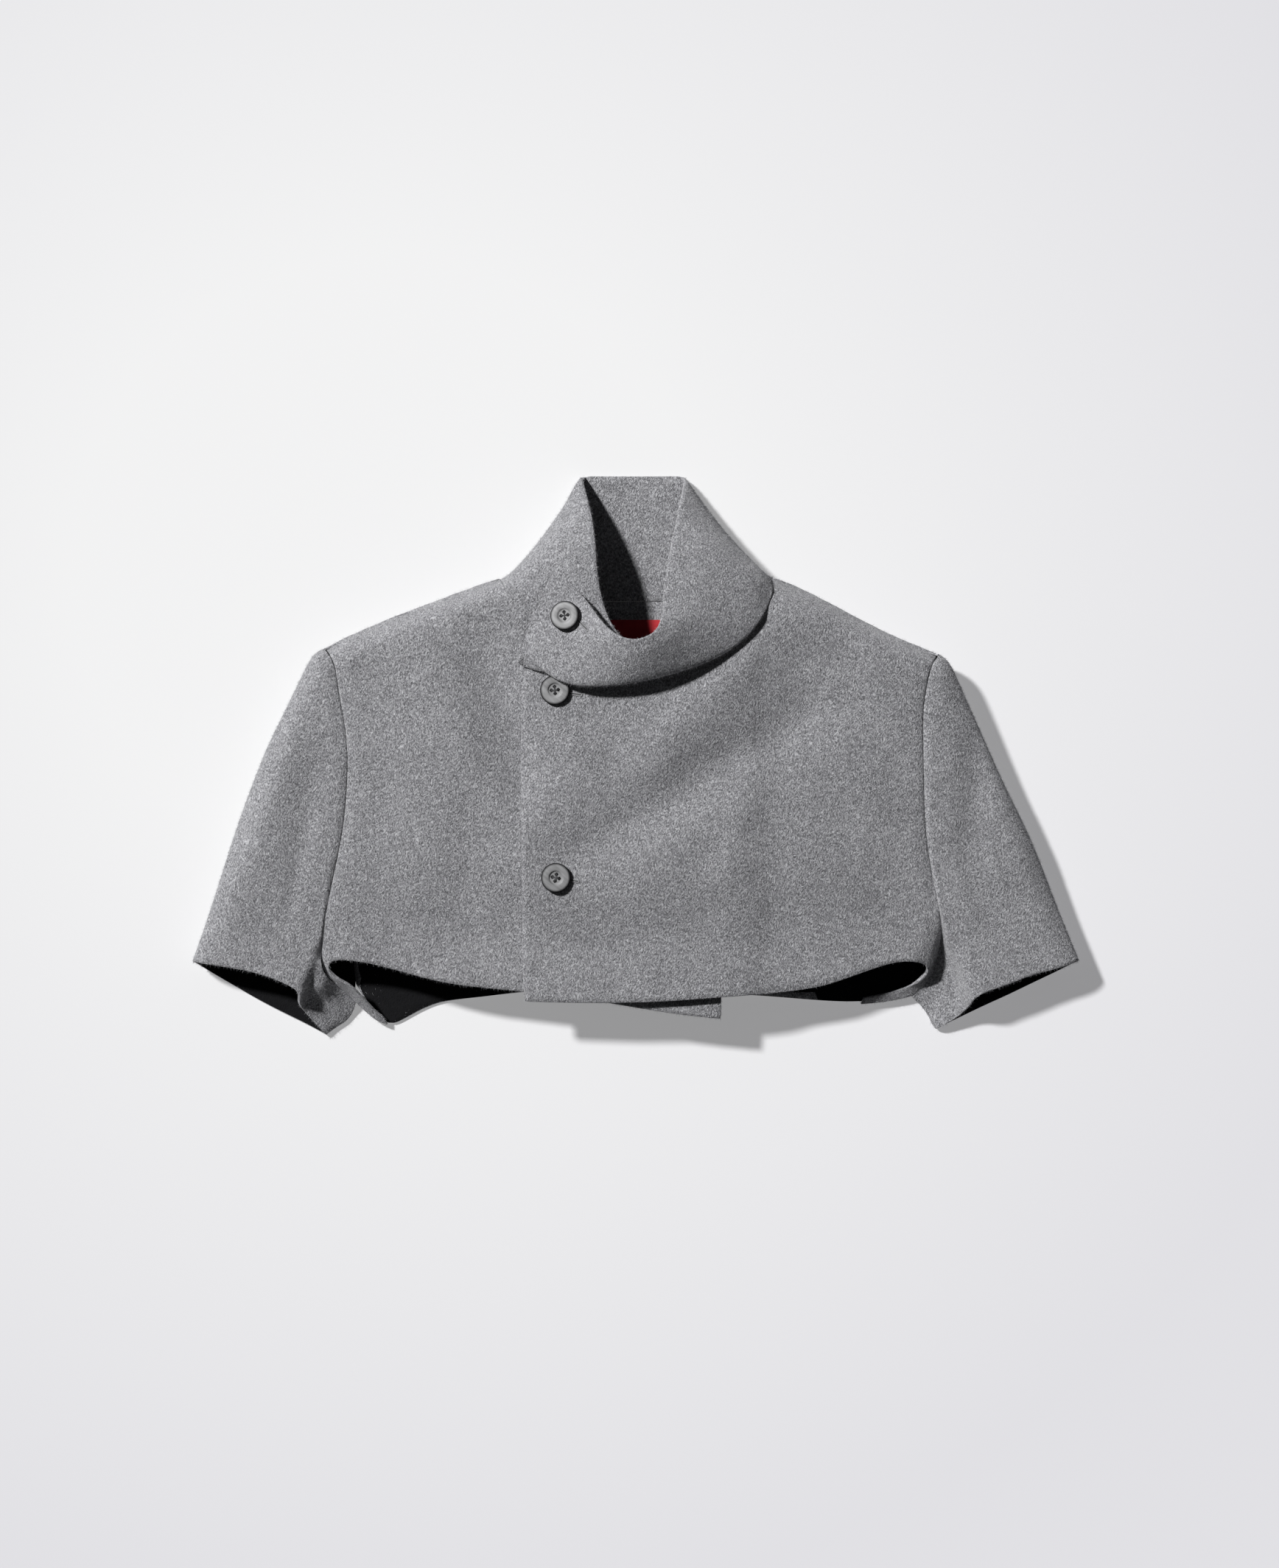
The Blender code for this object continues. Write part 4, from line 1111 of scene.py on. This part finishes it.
@dataclass
class Buttonhole:
    """The end of a worked buttonhole that shows beside its button, on one cloth."""

    name: str
    start: Vector
    end: Vector
    gap: float = 1.7 * MM
    stand: float = 0.45 * MM

    ABOVE_ALL = 0.2
    SLIT_HALF = 0.45 * MM
    SLIT_TAPER = 0.6
    SLIT_FOOT = 0.02 * MM

    def build(self, cloth: bpy.types.Object, tree: GeometryTree,
              finishes: Finishes) -> list[bpy.types.Object]:
        """Make the slit's painted shade and the stitches worked round it.

        Args:
            cloth: The panel it is cut in.
            tree: The stitches' tree.
            finishes: The coat's materials.

        Returns:
            The pieces.
        """
        surface = bvh_of([cloth])

        def dropped(point: Vector, above: float) -> tuple[Vector, Vector]:
            """The cloth's upper surface at a plan point, raised a little, and the way it faces."""
            above_it = Vector((point.x, point.y, self.ABOVE_ALL))
            hit, normal = surface.ray_cast(above_it, Vector((0, 0, -1)))[:2]
            return hit + normal * above, normal

        way = (self.end - self.start).normalized()
        side = Vector((-way.y, way.x, 0.0))
        length = (self.end - self.start).length
        rounds = [self.start + way * (length * share) + side * (self.gap / 2)
                  for share in np.linspace(0, 1, 8)]
        rounds += [self.end + (way * math.sin(turn) + side * math.cos(turn)) * (self.gap / 2)
                   for turn in np.linspace(0.4, math.pi - 0.4, 5)]
        rounds += [self.start + way * (length * share) - side * (self.gap / 2)
                   for share in np.linspace(1, 0, 8)]
        build = bmesh.new()
        tops = [dropped(point, self.stand) for point in rounds]
        verts = add_line(build, [top for top, _ in tops])
        up = {tuple(vert.co): normal for vert, (_, normal) in zip(verts, tops)}
        path = line_mesh(self.name + "_path", build, lambda point: up[tuple(point)])
        stitches = tree.run(self.name + "_stitches", path, {
            "Spacing": 0.6 * MM, "Length": 1.3 * MM, "Thickness": 0.55 * MM,
            "Slant": math.pi / 2, "Thread": finishes.pale_thread})
        slit_shade = self.slit_shade(dropped, way, side, length, finishes)
        for piece in (stitches, slit_shade):
            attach(piece, ROOT)
        return [stitches, slit_shade]

    def slit_shade(self, dropped: Any, way: Vector, side: Vector, length: float,
             finishes: Finishes) -> bpy.types.Object:
        """A near-black strip just above the cloth between the stitches: painted shade standing in
        for the cut.
        """
        build = bmesh.new()
        rings = []
        for share in np.linspace(0.0, 1.0, 9):
            middle, _ = dropped(self.start + way * (length * share), 0.0)
            half = self.SLIT_HALF * (1.0 - self.SLIT_TAPER * share ** 6)
            rings.append([build.verts.new(middle + side * (half * across) + Vector((0, 0, high)))
                          for across, high in ((-1, self.SLIT_FOOT), (1, self.SLIT_FOOT),
                                               (1, self.stand), (-1, self.stand))])
        for ring, after in zip(rings, rings[1:]):
            for k in range(4):
                build.faces.new((ring[k], ring[(k + 1) % 4], after[(k + 1) % 4], after[k]))
        build.faces.new(rings[0][::-1])
        build.faces.new(rings[-1])
        bmesh.ops.recalc_face_normals(build, faces=build.faces[:])
        made = mesh_object(self.name + "_slit", build)
        made.data.materials.append(finishes.slit_shade)
        return made


@dataclass
class Label:
    """A plain ribbon label, sewn down all round."""

    node: str = "label"
    columns: int = 42
    rows: int = 16
    bow: float = 0.25 * MM
    bow_reach: float = 3 * MM
    inset: float = 0.9 * MM
    thickness: float = 0.55 * MM
    thread_stand: float = 0.05 * MM

    FLAT_ANGLE = math.radians(50)

    def build(self, tree: GeometryTree, finishes: Finishes) -> list[bpy.types.Object]:
        """Make the ribbon and its stitches.

        Args:
            tree: The stitches' tree.
            finishes: The coat's materials.

        Returns:
            The pieces.
        """
        low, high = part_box(self.node)
        build = bmesh.new()
        across, along = np.linspace(0, 1, self.columns), np.linspace(0, 1, self.rows)
        grid = [[build.verts.new(self.point(low, high, u, v)) for u in across] for v in along]
        for row, after in zip(grid, grid[1:]):
            for k in range(self.columns - 1):
                build.faces.new((row[k], row[k + 1], after[k + 1], after[k]))
        ribbon = mesh_object(self.node + "_ribbon", build)
        wall = ribbon.modifiers.new("wall", "SOLIDIFY")
        wall.thickness = self.thickness
        wall.offset = -1.0
        mesh = plain_mesh(ribbon)
        bpy.data.objects.remove(ribbon)
        mesh.materials.append(finishes.ribbon)
        mesh.shade_smooth()
        mesh.set_sharp_from_angle(angle=self.FLAT_ANGLE)
        ribbon = linked(self.node + "_ribbon", mesh)
        corners = [(low.x, low.y), (high.x, low.y), (high.x, high.y), (low.x, high.y)]
        centre = (low + high) / 2
        line = bmesh.new()
        ends = [Vector((x + math.copysign(self.inset, centre.x - x),
                        y + math.copysign(self.inset, centre.y - y), high.z + self.thread_stand))
                for x, y in corners]
        verts = add_line(line, ends)
        line.edges.new((verts[-1], verts[0]))
        path = line_mesh(self.node + "_path", line, lambda point: Vector((0, 0, 1)))
        stitches = tree.run(self.node + "_stitches", path, {
            "Spacing": 2.1 * MM, "Length": 1.5 * MM, "Thickness": 0.3 * MM, "Slant": 0.0,
            "Thread": finishes.red_thread})
        for piece in (ribbon, stitches):
            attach(piece, ROOT)
        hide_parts(self.node)
        return [ribbon, stitches]

    def point(self, low: Vector, high: Vector, u: float, v: float) -> Vector:
        """A point of the ribbon's upper face, bowed up a little between its stitched edges."""
        from_edge = min(u * (high.x - low.x), (1 - u) * (high.x - low.x),
                        v * (high.y - low.y), (1 - v) * (high.y - low.y))
        rise = self.bow * min(1.0, from_edge / self.bow_reach) - self.bow
        return Vector((low.x + u * (high.x - low.x), low.y + v * (high.y - low.y), high.z + rise))


def linked(name: str, data: bpy.types.ID) -> bpy.types.Object:
    """Add an object to the scene with its mesh, light or camera."""
    made = bpy.data.objects.new(name, data)
    bpy.context.scene.collection.objects.link(made)
    return made


def mesh_object(name: str, build: bmesh.types.BMesh) -> bpy.types.Object:
    """Turn a bmesh into a linked object and free it."""
    mesh = bpy.data.meshes.new(name)
    build.to_mesh(mesh)
    build.free()
    return linked(name, mesh)


def add_line(build: bmesh.types.BMesh, points: Iterable[Vector]) -> list[bmesh.types.BMVert]:
    """Add an open line of edges through points, and give its points back."""
    verts = [build.verts.new(point) for point in points]
    for pair in zip(verts, verts[1:]):
        build.edges.new(pair)
    return verts


def plain_mesh(source: bpy.types.Object) -> bpy.types.Mesh:
    """The object's mesh with its modifiers applied."""
    mesh = bpy.data.meshes.new_from_object(
        source.evaluated_get(bpy.context.evaluated_depsgraph_get()))
    mesh.name = source.name
    return mesh


def line_mesh(name: str, build: bmesh.types.BMesh, up: Any) -> bpy.types.Mesh:
    """A mesh of edges that carries the way up at each point.

    Args:
        name: Its name.
        build: The edges, freed here.
        up: The direction at a point.

    Returns:
        The mesh, with the attribute "up".
    """
    mesh = bpy.data.meshes.new(name)
    ways = [up(vert.co) for vert in build.verts]
    build.to_mesh(mesh)
    build.free()
    layer = mesh.attributes.new("up", "FLOAT_VECTOR", "POINT")
    layer.data.foreach_set("vector", np.array(ways, np.float32).ravel())
    return mesh


# ---------------------------------------------------------------- studio


@dataclass(frozen=True)
class Studio:
    """A pale floor with painted fill light and painted falloff, a broad key light from the upper
    left, a soft fill and the camera overhead.
    """

    view_centre: Vector = field(default_factory=lambda: place(PHOTO_COLUMNS / 2, PHOTO_ROWS / 2))
    camera_height: float = 8.0
    sensor: float = 36.0
    key_slope: float = 1.12
    key_way: tuple[float, float] = (0.78, -0.62)
    key_strength: float = 4.7
    key_angle: float = math.radians(5.5)
    fill: Colour = (0.95, 0.965, 1.0, 1.0)
    fill_strength: float = 0.042
    floor_size: float = 14.0
    floor_depth: float = 0.3 * MM
    floor_colour: Colour = (0.56, 0.56, 0.562, 1.0)
    # painted falloff: the floor's colour darkens and turns bluish away from the middle, standing in
    # for light falling off
    floor_painted_falloff_colour: Colour = (0.475, 0.472, 0.49, 1.0)
    # painted fill light: the floor's own glow lifts the shadows cast on it
    floor_painted_fill: float = 0.545
    painted_light_middle: tuple[float, float] = (-0.20, 0.15)
    painted_falloff_from: float = 0.25
    painted_falloff_to: float = 0.85

    def build(self) -> None:
        """Make the floor, the lights and the camera."""
        bpy.context.scene.view_settings.view_transform = "Standard"
        bpy.ops.mesh.primitive_plane_add(size=self.floor_size,
                                         location=(0.0, 0.0, -self.floor_depth))
        floor = bpy.context.object
        floor.name = "studio_floor"
        floor.data.materials.append(self.floor_material())

        world = bpy.data.worlds.new("studio_fill")
        world.use_nodes = True
        sky = Board(world.node_tree)
        light = sky.wire("ShaderNodeBackground", None, {
            "Color": self.fill, "Strength": self.fill_strength})
        sky.node("ShaderNodeOutputWorld", None, {"Surface": light})
        bpy.context.scene.world = world

        key = bpy.data.lights.new("key", "SUN")
        key.energy = self.key_strength
        key.angle = self.key_angle
        lamp = linked("key", key)
        way = Vector((*(Vector(self.key_way) * self.key_slope), -1.0))
        lamp.rotation_euler = way.to_track_quat("-Z", "Y").to_euler()

        camera = bpy.data.cameras.new("overhead")
        camera.sensor_width = self.sensor
        camera.lens = self.sensor * self.camera_height / (PHOTO_ROWS / PIXELS_PER_MM * MM)
        camera.clip_end = 50.0
        stand = linked("overhead", camera)
        stand.location = self.view_centre + Vector((0, 0, self.camera_height))
        bpy.context.scene.camera = stand

    def floor_material(self) -> bpy.types.Material:
        """Pale paper with painted light: it glows evenly to lift the shadows cast on it, standing
        in for fill light, and a painted falloff darkens it away from the middle.
        """
        material, board = new_material("studio_floor")
        here = board.wire("ShaderNodeTexCoord", out="Object")
        middle = (*self.painted_light_middle, 0.0)
        away = board.wire("ShaderNodeVectorMath", {"operation": "DISTANCE"}, {0: here, 1: middle},
                          out="Value")
        # painted falloff of the light: darker away from the middle
        far = board.wire("ShaderNodeMapRange", {"clamp": True}, {
            "Value": away, "From Min": self.painted_falloff_from, "From Max": self.painted_falloff_to})
        colour = board.mix(far, self.floor_colour, self.floor_painted_falloff_colour)
        # painted fill light: the floor glows in its own colour
        finish_surface(board, {
            "Base Color": colour, "Roughness": 0.9, "Specular IOR Level": 0.1,
            "Emission Color": colour, "Emission Strength": self.floor_painted_fill})
        return material


# ---------------------------------------------------------------- the coat


@dataclass
class Coat:
    """The whole coat: panels, nap, buttons, buttonholes and label."""

    SEAM_REACH = 0.95 * MM
    WIDE_SEAM_REACH = 3.0 * MM
    FLOOR_SEAM_HEIGHT = 3.5 * MM
    SHOULDER_SEAM_HEIGHTS = (19 * MM, 30 * MM)
    SHOULDERS_FROM = 80 * MM
    SEAM_LEFT = 0.05 * MM

    nodes: Mapping[str, bpy.types.Object]
    finishes: Finishes = field(default_factory=Finishes)
    buttons: tuple[Button, ...] = (
        Button("button_tab", math.radians(38)), Button("button_front_1", math.radians(56)),
        Button("button_front_2", math.radians(48)))
    # each panel's inner skin gets painted near-black shade of the hollows, except the collar's, the
    # fronts' folded-under parts and a disc inside the back neck
    panels: tuple[Panel, ...] = field(default_factory=lambda: (
        Panel("back", Skin.LOWER, cut=(0.50, 0.36), area=0.147,
              unshaded_inside=(place(864, 800), 85 * MM)),
        Panel("front_inner", Skin.HIGHER, cut=(0.35, 0.37), area=0.089,
              shaded_side=ShadedSide.FACING_DOWN),
        Panel("front_outer", Skin.HIGHER, cut=(0.37, 0.36), area=0.093,
              shaded_side=ShadedSide.FACING_DOWN),
        Panel("sleeve_left", Skin.LARGER, cut=(0.33, 0.27), area=0.051),
        Panel("sleeve_right", Skin.LARGER, cut=(0.33, 0.27), area=0.049),
        Panel("collar", Skin.LARGER, cut=(0.56, 0.13), area=0.047, hollow_shaded=False),
    ))

    def build(self) -> None:
        """Build every piece in order."""
        boxes = [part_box(button.node) for button in self.buttons]
        drape = Drape(CREASES, tuple((low + high) / 2 for low, high in boxes))
        cloth = {}
        for panel in self.panels:
            cloth[panel.node] = panel.build(self.nodes[panel.node], drape, self.finishes)
            LOG.info("panel %s: %d faces", panel.node, len(cloth[panel.node].data.polygons))

        self.draw_seams(cloth)
        stitches = stitch_tree()
        sewn: dict[str, list[bpy.types.Object]] = {panel.node: [] for panel in self.panels}
        homes = ("collar", "front_outer", "front_outer")
        for button, home in zip(self.buttons, homes):
            sewn[home] += button.build(stitches, self.finishes)
            LOG.info("button %s", button.node)
        holes = (
            ("collar", Buttonhole("buttonhole_tab", place(784, 843), place(798, 857))),
            ("front_outer", Buttonhole("buttonhole_front_1", place(768, 941), place(789, 944.5))),
            ("front_outer", Buttonhole("buttonhole_front_2", place(770, 1193), place(785, 1196))),
        )
        for home, hole in holes:
            sewn[home] += hole.build(cloth[home], stitches, self.finishes)
            LOG.info("buttonhole %s", hole.name)
        Label().build(stitches, self.finishes)

        walls = bvh_of([*cloth.values(), *(piece for pieces in sewn.values() for piece in pieces)])
        combing = nap_tree()
        for panel in self.panels:
            nap = panel.comb(combing, walls, Hair(), self.finishes)
            LOG.info("nap %s: %d faces", panel.node, len(nap.data.polygons))
            under = [] if panel.node == "back" else ["back_cloth"]
            panel.declare([nap, *sewn[panel.node]], under)

    def draw_seams(self, cloth: Mapping[str, bpy.types.Object]) -> None:
        """Draw neighbouring panels' edges together where they are sewn.

        Args:
            cloth: The panels' objects by node.
        """
        low, high = self.SHOULDER_SEAM_HEIGHTS
        trees = {node: bvh_of([item]) for node, item in cloth.items()}
        for node, item in cloth.items():
            others = [tree for name, tree in trees.items() if name != node]
            for vert in item.data.vertices:
                wide = vert.co.z < self.FLOOR_SEAM_HEIGHT or (
                    low < vert.co.z < high and vert.co.y > self.SHOULDERS_FROM)
                reach = self.WIDE_SEAM_REACH if wide else self.SEAM_REACH
                hits = (tree.find_nearest(vert.co, reach) for tree in others)
                near = [hit for hit in hits if hit[0]]
                if near:
                    point, _, _, gap = min(near, key=lambda hit: hit[3])
                    vert.co += (point - vert.co) * (max(gap - self.SEAM_LEFT, 0.0) / 2 / gap)


def main() -> None:
    """Build the studio and the coat."""
    logging.basicConfig(level=logging.INFO, format="%(name)s: %(message)s")
    for old in list(bpy.data.objects):
        bpy.data.objects.remove(old)
    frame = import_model()
    Studio().build()
    Coat(frame["nodes"]).build()


if __name__ == "__main__":
    main()
